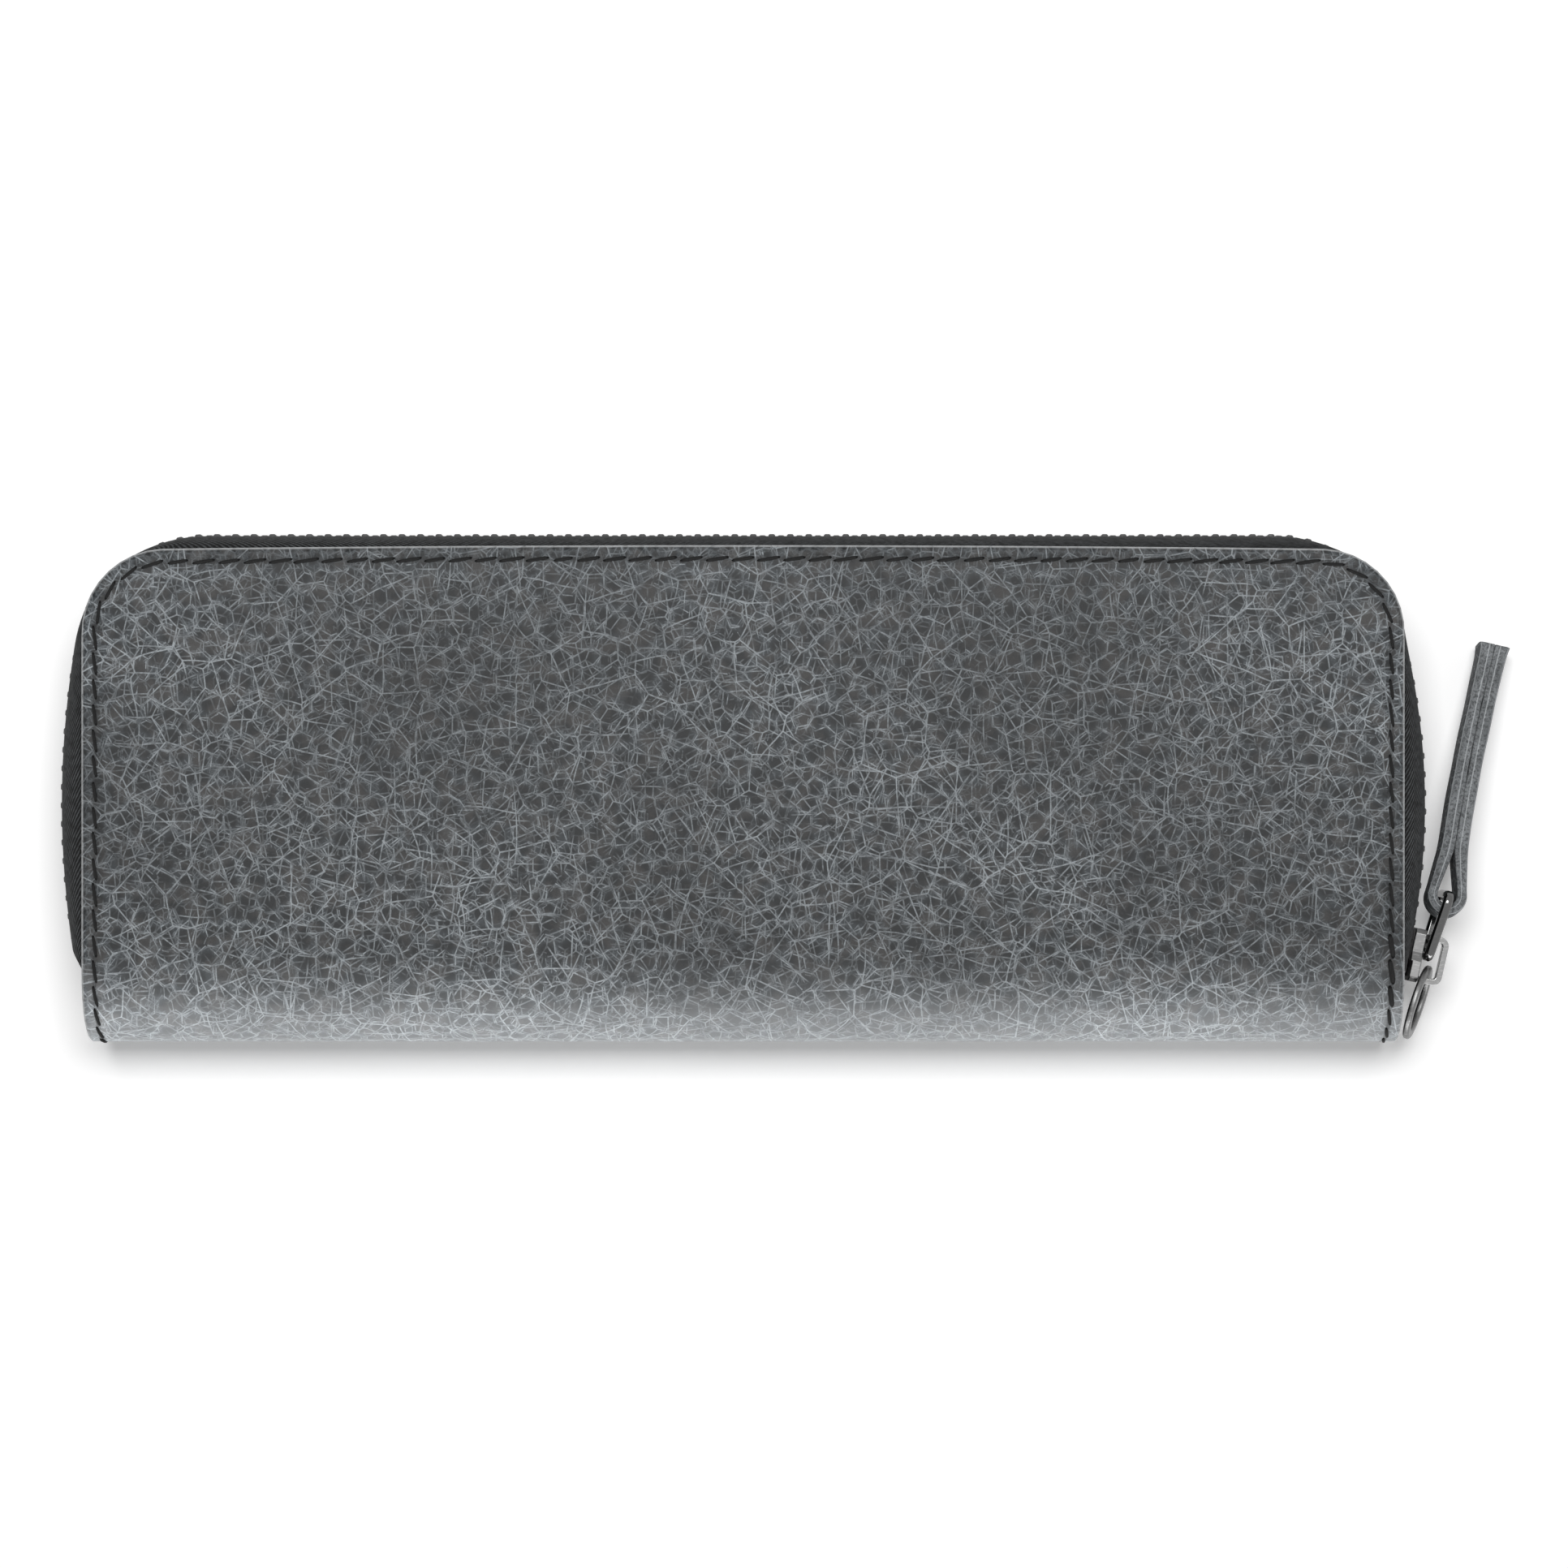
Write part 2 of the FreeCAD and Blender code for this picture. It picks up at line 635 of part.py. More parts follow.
def strap():
    """Two layers of leather folded round the link's far bar; X along the strap, Y through its layers."""
    body = new_body("pull_strap")
    half = size("strap_layer")
    eye, wall = size("strap_eye_radius"), size("strap_loop_wall")
    centre = (size("strap_eye_offset"), 0)
    full = size("strap_loop_length")
    sketch = new_sketch(body, "XY_Plane", "strap_profile")

    def wrapped(radius, far, height):
        """Where a line from a far point touches the circle, above the strap's middle."""
        reach = math.hypot(far - centre[0], height)
        angle = math.degrees(math.atan2(height, far - centre[0]) + math.acos(radius / reach))
        return angle, polar(centre, radius, angle)

    angle, touch = wrapped(eye + wall, full, half)
    mirror_touch = (touch[0], -touch[1])
    tip = size("strap_length")
    numbers = draw(sketch, [
        (centre, eye + wall, angle, 360 - angle),
        (mirror_touch, (full, -half)), ((full, -half), (tip, -half)), ((tip, -half), (tip, half)),
        ((tip, half), (full, half)), ((full, half), touch),
    ])
    bind(sketch, "sizes.strap_eye_radius + sizes.strap_loop_wall", "Radius", numbers[0], eye + wall)
    angle, touch = wrapped(eye, size("strap_eye_length"), 0)
    mirror_touch, point = (touch[0], -touch[1]), (size("strap_eye_length"), 0)
    numbers = draw(sketch, [(centre, eye, angle, 360 - angle), (mirror_touch, point), (point, touch)])
    bind(sketch, "sizes.strap_eye_radius", "Radius", numbers[0], eye)
    pad = body.newObject("PartDesign::Pad", "strap_pad")
    pad.Profile = sketch
    pad.Midplane = True
    pad.setExpression("Length", "sizes.strap_width")
    droop = Rotation(Vector(0, 1, 0), size("strap_droop"))
    body.Placement = Placement(strap_pivot, Rotation(UP, size("strap_angle")).multiply(droop))
    return body


def ring():
    """A flat ring; X runs from the crown to its middle, and it leans a little off upright."""
    body = new_body("pull_ring")
    outer = size("ring_diameter") / 2
    inner = outer - size("ring_band")
    reach = (outer + inner) / 2
    sketch = new_sketch(body, "XZ_Plane", "ring_outline")
    for radius, expression in (
        (outer, "sizes.ring_diameter / 2"),
        (inner, "sizes.ring_diameter / 2 - sizes.ring_band"),
    ):
        number = sketch.addGeometry(Part.Circle(Vector(reach, 0, 0), UP, radius))
        bind(sketch, expression, "Radius", number, radius)
    pad = body.newObject("PartDesign::Pad", "ring_pad")
    pad.Profile = sketch
    pad.Midplane = True
    pad.setExpression("Length", "sizes.ring_thickness")
    doc.recompute()
    rims = [f"Edge{n}" for n, edge in enumerate(pad.Shape.Edges, start=1) if len(edge.Vertexes) == 1]
    chamfer = body.newObject("PartDesign::Chamfer", "ring_rims")
    chamfer.Base = (pad, rims)
    chamfer.setExpression("Size", "sizes.ring_chamfer")
    lean = Rotation(Vector(1, 0, 0), size("ring_lean"))
    body.Placement = Placement(ring_pivot, Rotation(UP, size("ring_hang_angle")).multiply(lean))
    return body


parts.append(link())
parts.append(strap())
parts.append(ring())


# Pen loops: one band sewn down between its arches, standing on the back lining
def pen_loops():
    body = new_body("pen_loops")
    wall, bore, leg = size("loop_wall"), size("loop_bore") / 2, size("loop_leg")
    foot, pitch = size("loop_foot"), size("loop_spacing")
    first = size("band_middle") - pitch * (LOOP_COUNT - 1) / 2
    centres = [first + pitch * number for number in range(LOOP_COUNT)]
    floor = lining_high
    spring = floor + leg
    over, under = [], []
    for number, middle in enumerate(centres):
        start = middle - bore - wall - foot if number == 0 else centres[number - 1] + bore + wall
        over += [
            ((start, floor + wall), (middle - bore - wall, floor + wall)),
            ((middle - bore - wall, floor + wall), (middle - bore - wall, spring)),
            ((middle, spring), bore + wall, 180, 0),
            ((middle + bore + wall, spring), (middle + bore + wall, floor + wall)),
        ]
        stop = middle + bore + wall + foot if number == LOOP_COUNT - 1 else centres[number + 1] - bore
        under.append([
            ((stop, floor), (middle + bore, floor)),
            ((middle + bore, floor), (middle + bore, spring)),
            ((middle, spring), bore, 0, 180),
            ((middle - bore, spring), (middle - bore, floor)),
        ])
    left, right = centres[0] - bore - wall - foot, centres[-1] + bore + wall + foot
    ending = [
        ((centres[-1] + bore + wall, floor + wall), (right, floor + wall)),
        ((right, floor + wall), (right, floor)),
    ]
    returning = [piece for group in reversed(under) for piece in group]
    closing = [((centres[0] - bore, floor), (left, floor)), ((left, floor), (left, floor + wall))]
    sketch = new_sketch(body, "YZ_Plane", "loops_profile")
    draw(sketch, over + ending + returning + closing)
    pad = body.newObject("PartDesign::Pad", "loops_pad")
    pad.Profile = sketch
    pad.Midplane = True
    pad.setExpression("Length", "sizes.band_width")
    body.Placement = Placement(Vector(size("band_place"), 0, 0), Rotation())
    return body


parts.append(pen_loops())

doc.recompute()
for item in doc.Objects:
    if "Invalid" in item.State or "Error" in item.State:
        raise RuntimeError(f"{item.Label} failed: {item.State}")
for item in parts:
    if item.Shape.isNull() or not item.Shape.isValid():
        raise RuntimeError(f"{item.Label} has no valid shape")

os.makedirs("parts", exist_ok=True)
for item in parts:
    item.Shape.exportStep(f"parts/{item.Label}.step")
    box = item.Shape.BoundBox
    print(f"{item.Label}: {len(item.Shape.Solids)} solids, {item.Shape.Volume:.1f} cubic mm, "
          f"x {box.XMin:.2f} to {box.XMax:.2f}, y {box.YMin:.2f} to {box.YMax:.2f}, "
          f"z {box.ZMin:.2f} to {box.ZMax:.2f}")
print("link pivot", link_pivot, "strap pivot", strap_pivot, "ring pivot", ring_pivot)
print("zip right run centre", chain_runs[0][1:4], "slider at", math.degrees(slider_turn),
      "run's top at", math.degrees(chain_runs[0][5]))
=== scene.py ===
# %% [markdown]
# A zip-around pen case in crackled grey leather, lying on its back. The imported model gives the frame:
# where every piece is, how large it is and which body it moves with. This lesson dresses that frame.
# Leather, tape, lining and strap are made again as surfaces worked out with numpy; the small metal pieces
# keep their shape and get a finish.

# %% Load the frame
import json
import math

import bpy
import numpy as np
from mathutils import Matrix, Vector
from mathutils.geometry import delaunay_2d_cdt


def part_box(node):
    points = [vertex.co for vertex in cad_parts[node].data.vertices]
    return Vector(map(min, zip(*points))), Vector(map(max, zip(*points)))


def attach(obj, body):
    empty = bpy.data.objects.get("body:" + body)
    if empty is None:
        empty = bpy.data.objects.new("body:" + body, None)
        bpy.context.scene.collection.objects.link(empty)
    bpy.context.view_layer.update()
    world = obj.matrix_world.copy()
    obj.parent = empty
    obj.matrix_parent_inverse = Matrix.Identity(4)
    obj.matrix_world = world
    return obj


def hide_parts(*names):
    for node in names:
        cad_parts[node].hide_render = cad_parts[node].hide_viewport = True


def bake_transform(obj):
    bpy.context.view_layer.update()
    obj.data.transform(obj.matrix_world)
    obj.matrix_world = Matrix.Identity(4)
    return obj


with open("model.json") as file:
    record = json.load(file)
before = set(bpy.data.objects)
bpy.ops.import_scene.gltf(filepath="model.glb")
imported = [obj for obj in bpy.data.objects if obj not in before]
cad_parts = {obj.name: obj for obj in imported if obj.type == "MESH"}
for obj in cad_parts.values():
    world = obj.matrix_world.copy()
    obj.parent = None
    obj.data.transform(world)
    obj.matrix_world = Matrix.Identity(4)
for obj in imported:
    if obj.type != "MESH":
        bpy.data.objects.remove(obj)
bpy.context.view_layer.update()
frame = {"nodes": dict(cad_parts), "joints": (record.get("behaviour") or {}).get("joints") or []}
MM = 0.001
scene = bpy.context.scene
rng = np.random.default_rng(28)

# %% [markdown]
# The case is a flat cover, a half-round fold and another flat cover. All later pieces hang on a few
# lengths, so they are read from the frame here: half the length, the free edge, the fold's radius and the
# line where it starts. They could be typed in, but a value read from the frame stays true when the model
# changes.

# %% Main lengths
cover_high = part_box("front_cover")[1]
case_height = cover_high.z
fold_radius = case_height / 2
mid_height = fold_radius
half_length = cover_high.x
free_edge = cover_high.y
fold_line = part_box("spine_fold")[0].y + fold_radius
leather = 1.5 * MM
corner_radius = 12.5 * MM
fold_quarter = math.pi / 2 * fold_radius
cover_reach = fold_quarter + free_edge - fold_line
BACK, FRONT = -1, 1
SIDES = {"back": BACK, "front": FRONT}
print("cover reaches", round(cover_reach / MM, 1), "mm from the middle of the fold")


# %% [markdown]
# Every new piece ends as points and faces. One helper joins a grid of points with quads, and another puts
# arrays into a mesh object that stays at the origin, so that its place is in its mesh. Blender's own
# primitives could give some of this, but as arrays each shape is a formula to read.

# %% Mesh helpers
def stacked(*parts):
    """Arrays of matching shape side by side, as the last axis of one array."""
    return np.stack(np.broadcast_arrays(*parts), -1)


def grid_quads(rows, columns, wrap=False):
    """Each face joins a point, the next in its row and the two of the row after; wrap closes a row."""
    row = np.arange(rows - 1)[:, None]
    column = np.arange(columns if wrap else columns - 1)[None, :]
    after = (column + 1) % columns
    here, ahead = row * columns, (row + 1) * columns
    return stacked(here + column, here + after, ahead + after, ahead + column).reshape(-1, 4)


def put_mesh(name, points, faces, *materials):
    """Puts an array of points and an array of faces into a smooth mesh object at the origin."""
    mesh = bpy.data.meshes.new(name)
    mesh.from_pydata(points.reshape(-1, 3).tolist(), [], faces.tolist())
    mesh.shade_smooth()
    for material in materials:
        mesh.materials.append(material)
    piece = bpy.data.objects.new(name, mesh)
    scene.collection.objects.link(piece)
    return piece


# %% Values that a piece keeps
def keep_values(piece, name, kind, domain, values):
    """Stores one value, or one vector, per point or per corner, for the material to read."""
    attribute = piece.data.attributes.new(name, kind, domain)
    field = "vector" if kind == "FLOAT_VECTOR" else "value"
    attribute.data.foreach_set(field, np.asarray(values, np.float32).ravel())


def keep_uv(piece, name, per_point):
    """Stores a UV map from one pair of numbers per point."""
    corner_points = np.zeros(len(piece.data.loops), np.int32)
    piece.data.loops.foreach_get("vertex_index", corner_points)
    layer = piece.data.uv_layers.new(name=name)
    layer.data.foreach_set("uv", per_point.reshape(-1, 2)[corner_points].astype(np.float32).ravel())


def thicken(piece, thickness, inner_slot=0, rim_slot=0):
    """Gives a surface a wall on its inner side."""
    wall = piece.modifiers.new("wall", "SOLIDIFY")
    wall.thickness = thickness
    wall.offset = -1
    wall.material_offset = inner_slot
    wall.material_offset_rim = rim_slot


# %% [markdown]
# Materials are node trees. A short helper adds a node, sets its properties and links or fills its inputs,
# which keeps each finish to a few readable lines. Effects that several finishes share are node groups.

# %% Node helpers
def fill(tree, made, inputs):
    """Links or sets a node's sockets: each name or number comes with a value or another node's output."""
    for name, value in inputs.items():
        if isinstance(value, bpy.types.NodeSocket):
            tree.links.new(value, made.inputs[name])
        else:
            made.inputs[name].default_value = value


def add(tree, kind, inputs=(), **properties):
    """Adds a node to a tree, sets its properties and fills its sockets."""
    made = tree.nodes.new("ShaderNode" + kind)
    for name, value in properties.items():
        setattr(made, name, value)
    fill(tree, made, dict(inputs))
    return made


def combine(tree, operation, first, second=0.0):
    """One arithmetic step on two values."""
    return add(tree, "Math", {0: first, 1: second}, operation=operation).outputs[0]


def ramp(tree, value, low, high, start=0.0, stop=1.0):
    """A smooth step of a value: start below low, stop above high."""
    sockets = {"Value": value, "From Min": low, "From Max": high, "To Min": start, "To Max": stop}
    return add(tree, "MapRange", sockets, interpolation_type="SMOOTHSTEP").outputs[0]


# %% Colour helpers
def scaled(tree, colour, factor):
    """A colour with each channel times a factor."""
    return add(tree, "VectorMath", {0: colour, 1: factor}, operation="MULTIPLY").outputs[0]


def mix(tree, factor, first, second):
    """The first colour where the factor is nothing, the second where it is one."""
    sockets = {"Factor": factor, 6: first, 7: second}
    return add(tree, "Mix", sockets, data_type="RGBA").outputs[2]


def grey(level, cool=0.0):
    """A screen level from 0 to 255, made slightly cool, as the linear colour that shaders take."""
    screen = np.array([level * (1 - cool), level, level * (1 + cool * 0.7)]) / 255
    linear = np.where(screen <= 0.04045, screen / 12.92, ((screen + 0.055) / 1.055) ** 2.4)
    return (*linear.tolist(), 1.0)


print("middle grey is", round(grey(128)[0], 3), "in linear light")


# %% Materials and groups
def new_material(name):
    """A material with its node tree and its shader."""
    material = bpy.data.materials.new(name)
    material.use_nodes = True
    return material, material.node_tree, material.node_tree.nodes["Principled BSDF"]


def new_group(name, inputs, outputs):
    """A shader node group with named sockets: one called Vector takes a vector, the others numbers."""
    group = bpy.data.node_groups.new(name, "ShaderNodeTree")
    for way, sockets in (("INPUT", inputs), ("OUTPUT", outputs)):
        for socket in sockets:
            kind = "NodeSocketVector" if socket == "Vector" else "NodeSocketFloat"
            group.interface.new_socket(socket, in_out=way, socket_type=kind)
    return group, group.nodes.new("NodeGroupInput"), group.nodes.new("NodeGroupOutput")


def use_group(tree, group, inputs):
    """Places a shared effect in a tree."""
    return add(tree, "Group", inputs, node_tree=group)


# %% [markdown]
# Three effects repeat. Mottle is the slow drift of tone in anything dyed. Twill is the slanting rib of
# woven tape and lining. Scuff is the uneven polish of handled metal. Each could be copied into every
# finish; as a group it is built once and takes other values.

# %% Shared node groups
def make_mottle():
    """Soft clouds of noise, stretched to run from a low tone to a high one."""
    group, given, result = new_group("mottle", ("Vector", "Scale", "Low", "High"), ("Tone",))
    cloud = add(group, "TexNoise", {"Vector": given.outputs[0], "Scale": given.outputs[1], "Detail": 4.0})
    tone = ramp(group, cloud.outputs[0], 0.3, 0.7, given.outputs[2], given.outputs[3])
    group.links.new(tone, result.inputs[0])
    return group


def make_twill():
    """Bands on turned coordinates for the ribs, and noise of the same scale for the yarn."""
    group, given, result = new_group("twill", ("Vector", "Scale", "Slant"), ("Rib", "Yarn"))
    slant = {"Vector": given.outputs[0], "Angle": given.outputs[2]}
    turned = add(group, "VectorRotate", slant, rotation_type="Z_AXIS").outputs[0]
    rib = add(group, "TexWave", {"Vector": turned, "Scale": given.outputs[1], "Distortion": 1.2,
                                 "Detail": 2.0, "Detail Scale": 3.0}, bands_direction="Y")
    yarn = add(group, "TexNoise", {"Vector": turned, "Scale": given.outputs[1], "Detail": 3.0})
    group.links.new(rib.outputs[1], result.inputs[0])
    group.links.new(yarn.outputs[0], result.inputs[1])
    return group


def about_zero(tree, noise, amount):
    """Noise moved to lie on both sides of nothing, times an amount."""
    return combine(tree, "MULTIPLY", combine(tree, "SUBTRACT", noise, 0.5), amount)


def make_scuff():
    """Noise drawn out in one direction: it spreads the roughness, and its peaks are marks."""
    sockets = ("Vector", "Scale", "Rough", "Spread")
    group, given, result = new_group("scuff", sockets, ("Roughness", "Mark"))
    stretched = add(group, "Mapping", {"Vector": given.outputs[0], "Scale": (1.0, 6.0, 1.0)})
    fine = add(group, "TexNoise", {"Vector": stretched.outputs[0], "Scale": given.outputs[1], "Detail": 5.0})
    swing = about_zero(group, fine.outputs[0], given.outputs[3])
    group.links.new(combine(group, "ADD", given.outputs[2], swing), result.inputs[0])
    group.links.new(ramp(group, fine.outputs[0], 0.55, 0.75), result.inputs[1])
    return group


mottle, twill, scuff = make_mottle(), make_twill(), make_scuff()


def clouds(tree, vector, scale, low, high):
    """The tone of the mottle group, from low to high."""
    return use_group(tree, mottle, {"Vector": vector, "Scale": scale, "Low": low, "High": high}).outputs[0]


print("groups:", [group.name for group in bpy.data.node_groups])


# %% [markdown]
# The leather's mark is its grain: dark round pebbles, and between them bundles of pale straight strands
# that cross in stars. A cell texture only gives one line between two cells, so the grain is made as a net
# instead. Scattered pebbles are joined by a Delaunay net; each of its triangles knows how far any place
# inside it is from the strands and pebbles near it, and the material draws a strand where that distance
# is small. The net is also the mesh. Cell textures come in afterwards, for the long hairlines that run
# across many pebbles.

# %% Flat leather and its wrap round the case
top_bow = 0.7 * MM
print("flat leather:", round(2 * half_length / MM), "by", round(2 * cover_reach / MM), "mm")


def on_cover(side, along, around, lift=0.0):
    """Wraps flat leather onto the case: around runs from the middle of the fold onto the panel.

    Over the first quarter turn the point goes round the fold at an angle of around / radius, and past it, it
    runs flat. Towards the free edge the middle of the panel bows out a little. lift raises the point.
    """
    angle = np.minimum(around / fold_radius, math.pi / 2)
    past = np.maximum(around - fold_quarter, 0)
    bow = top_bow * (past / (free_edge - fold_line)) ** 3 * (1 - (along / half_length) ** 2)
    radius = fold_radius + lift
    across = fold_line - radius * np.cos(angle) + past + bow
    up = mid_height + side * radius * np.sin(angle)
    return stacked(along, across, up)


# %% Outline of the leather
def edge_distance(along, around):
    """How far a place on the flat leather is from its outline, which has two rounded corners."""
    beside = np.abs(along) - (half_length - corner_radius)
    beyond = around - (cover_reach - corner_radius)
    in_corner = (beside > 0) & (beyond > 0)
    straight = np.minimum(half_length - np.abs(along), cover_reach - around)
    return np.where(in_corner, corner_radius - np.hypot(beside, beyond), straight)


def outline_path(inset, step, loose=0.0):
    """Points a step apart along the outline, moved inwards: up the left, over the top, down the right.

    loose is the random part of a step by which a point may slide along the path; the two ends stay.
    """
    radius = corner_radius - inset
    side_length = cover_reach - corner_radius
    top_length = 2 * (half_length - corner_radius)
    turn = math.pi / 2 * radius
    lengths = np.cumsum([side_length, turn, top_length, turn, side_length])
    count = int(round(lengths[-1] / step)) + 1
    travel = np.linspace(0, lengths[-1], count)
    travel[1:-1] += rng.uniform(-loose, loose, count - 2) * step
    first = np.clip(travel - lengths[0], 0, turn) / radius
    second = np.clip(travel - lengths[2], 0, turn) / radius
    over = np.clip(travel - lengths[1], 0, top_length)
    along = -half_length + inset + radius * (1 - np.cos(first)) + over + radius * np.sin(second)
    up = np.minimum(travel, side_length) + radius * np.sin(first)
    down = radius * (1 - np.cos(second)) + np.maximum(travel - lengths[3], 0)
    return stacked(along, np.maximum(up - down, 0))


# %% The pebble net
seam_inset = 2.0 * MM
grain_spacing = 2.75 * MM
grain_jitter = 0.36
guide_step = 2.2 * MM
edge_roll = 0.35 * MM
seam_shoulder = 0.75 * MM
fold_lip = 0.15 * MM
pebble_clearance = 0.8 * MM
fold_clearance = 1.2 * MM
row_looseness = 0.42
smallest_area = 1e-4 * MM ** 2
print("pebbles about", round(grain_spacing / MM, 2), "mm apart")


def scattered_points():
    """A staggered lattice whose points are each moved by a random part of the spacing."""
    row_step = grain_spacing * math.sqrt(3) / 2
    columns, rows = int(2 * half_length / grain_spacing) + 2, int(cover_reach / row_step) + 2
    column, row = np.meshgrid(np.arange(columns), np.arange(rows))
    along = -half_length + (column + 0.5 * (row % 2)) * grain_spacing
    lattice = stacked(along, row * row_step).reshape(-1, 2)
    return lattice + rng.uniform(-grain_jitter, grain_jitter, lattice.shape) * grain_spacing


def doubled_area(shapes):
    """Twice the area of each triangle, from the cross product of two of its sides."""
    first, second = shapes[:, 1] - shapes[:, 0], shapes[:, 2] - shapes[:, 0]
    return np.abs(first[:, 0] * second[:, 1] - first[:, 1] * second[:, 0])


def pebble_net():
    """Joins guide rows and scattered pebbles into triangles; also each point's row, -1 for a pebble."""
    insets = (0.0, edge_roll, seam_inset - seam_shoulder, seam_inset, seam_inset + seam_shoulder)
    fold_row = np.linspace(-half_length, half_length, int(2 * half_length / guide_step) + 1)[1:-1]
    rows = [outline_path(inset, guide_step, row_looseness if inset else 0.0) for inset in insets]
    rows += [stacked(fold_row, lip) for lip in (0.0, fold_lip)]
    guide_row = np.repeat(np.arange(len(rows)), [len(row) for row in rows])
    pebbles = scattered_points()
    depth = edge_distance(pebbles[:, 0], pebbles[:, 1])
    past_seam = depth > seam_inset + seam_shoulder + pebble_clearance
    clear = past_seam & (pebbles[:, 1] > fold_clearance)
    points = np.concatenate([*rows, pebbles[clear]])
    row_number = np.concatenate([guide_row, np.full(clear.sum(), -1)])
    flat = [Vector(point) for point in points / MM]
    places, _, triangles, origin, _, _ = delaunay_2d_cdt(flat, [], [], 0, 1e-6)
    places, triangles = np.array([tuple(place) for place in places]) * MM, np.array(triangles)
    triangles = triangles[doubled_area(places[triangles]) > smallest_area]
    return places, triangles, row_number[[ids[0] for ids in origin]]


# %% Sides of the net
def net_sides(triangles):
    """The net's sides, each once; a triangle's three sides by number; the two triangles beside a side."""
    ends = triangles[:, [[1, 2], [2, 0], [0, 1]]].reshape(-1, 2)
    sides, first, number = np.unique(np.sort(ends, -1), axis=0, return_index=True, return_inverse=True)
    number = number.ravel()
    last = np.zeros(len(sides), int)
    last[number] = np.arange(len(number))
    return sides, number.reshape(-1, 3), stacked(first, last) // 3


# %% Strands between the pebbles
strand_spread = 0.3 * MM
strand_turn = math.radians(7)
STRANDS = 3
STRENGTH_MEANS, STRENGTH_SPREADS = (1.0, 0.35, 0.1), (0.2, 0.35, 0.25)
row_strength = 0.3


def strand_bundles(corners, middles, sides, beside):
    """Straight strands between each two pebbles: lines near the one through the two junctions beside them.

    A strand is a unit normal and a distance; a place is off it by its product with the normal, less that
    distance.
    """
    start, stop = middles[beside[:, 0]], middles[beside[:, 1]]
    at_rim = beside[:, 0] == beside[:, 1]
    stop = np.where(at_rim[:, None], corners[sides].mean(1), stop)
    run = stop - start
    heading = np.arctan2(run[:, 1], run[:, 0])[:, None] + rng.normal(0, strand_turn, (len(sides), STRANDS))
    normal = stacked(-np.sin(heading), np.cos(heading))
    middle = (start + stop) / 2
    distance = (normal * middle[:, None]).sum(-1) + rng.normal(0, strand_spread, heading.shape)
    return normal, distance


def strand_strengths(sides, row_of):
    """A bundle has a strong, a middling and a faint strand, and bundles between guide rows are fainter."""
    strength = np.clip(rng.normal(STRENGTH_MEANS, STRENGTH_SPREADS, (len(sides), STRANDS)), 0, 1)
    first, second = row_of[sides].T
    along_rows = (first >= 0) & (second >= 0) & (first != second)
    return np.where(along_rows[:, None], row_strength, 1.0) * strength


# %% Sizes of the pebbles
half_band, least_pebble = 0.2 * MM, 0.25 * MM
LEAST_UNEVEN, MOST_UNEVEN = 0.85, 1.1


def pebble_sizes(corners, sides):
    """A pebble's radius: half the mean distance to its neighbours, less half a band, a little uneven."""
    lengths = np.linalg.norm(corners[sides[:, 0]] - corners[sides[:, 1]], axis=1)
    mean = np.bincount(sides.ravel(), np.repeat(lengths, 2)) / np.bincount(sides.ravel())
    uneven = rng.uniform(LEAST_UNEVEN, MOST_UNEVEN, len(corners))
    return np.maximum(mean / 2 - half_band, least_pebble) * uneven


# %% [markdown]
# Each triangle of the net is cut into three at its middle, where the strands of its sides cross. The
# pebbles stand up a little between them, the row of stitches pulls a groove and the cut edge rolls over.
# Every small triangle keeps how far its corners are from the strands near it and from its two pebbles,
# for the material to draw. A picture of the grain would be simpler, but it would blur close up and
# repeat.

# %% Relief of the leather
pebble_rise, row_rise = 0.08 * MM, 0.3
groove_depth, groove_width = 0.22 * MM, 0.5 * MM
edge_drop, roll_width = 0.3 * MM, 0.22 * MM
fold_fade = 2 * MM


def leather_lift(row_of, depth, around):
    """Height over the leather: pebbles rise, the seam sinks in a bell curve, the edge falls exponentially.

    The net's corners come first and have a row; the middles of its triangles come after and don't rise. All
    of it fades out towards the middle of the fold, where the two covers meet.
    """
    rise = np.zeros(len(depth))
    rise[:len(row_of)] = np.where(row_of < 0, 1.0, row_rise)
    lift = pebble_rise * rise
    lift = lift - groove_depth * np.exp(-((depth - seam_inset) / groove_width) ** 2)
    lift = lift - edge_drop * np.exp(-depth / roll_width)
    return lift * np.clip(around / fold_fade, 0, 1) - pebble_rise


# %% Distances for the grain
def keep_strands(piece, shapes, order, side_of, bundles):
    """Keeps each corner's distance to nine strands: three of its own side and six of the two beside it.

    The distance is the product of the corner's place with the strand's normal, less the strand's own.
    """
    normal, distance, strength = bundles
    left, right = side_of[:, [1, 2, 0]], side_of[:, [2, 0, 1]]
    near = {
        "crease": (stacked(side_of, side_of, side_of), [0, 1, 2]),
        "ray": (stacked(left, right, left), [0, 0, 1]),
        "star": (stacked(right, left, right), [1, 2, 2]),
    }
    for label, (lines, strands) in near.items():
        along_normal = np.einsum("tkpd,tksd->tkps", shapes, normal[lines, strands])
        away = along_normal - distance[lines, strands][:, :, None]
        drawn = np.repeat(strength[lines, strands], 3, 1)
        keep_values(piece, label, "FLOAT_VECTOR", "CORNER", away[:, :, order] / MM)
        keep_values(piece, label + "_strength", "FLOAT_VECTOR", "CORNER", drawn)


def keep_pebbles(piece, shapes, order, pebbles, faces, size):
    """Keeps each corner's way from the two pebbles of its face, as a share of the pebble's radius."""
    for label, middle in (("pebble_a", faces[:, :, 0]), ("pebble_b", faces[:, :, 1])):
        away = (shapes - pebbles[middle][:, :, None]) / size[middle][:, :, None, None]
        away = stacked(away[..., 0], away[..., 1], 0)
        keep_values(piece, label, "FLOAT_VECTOR", "CORNER", away[:, :, order])


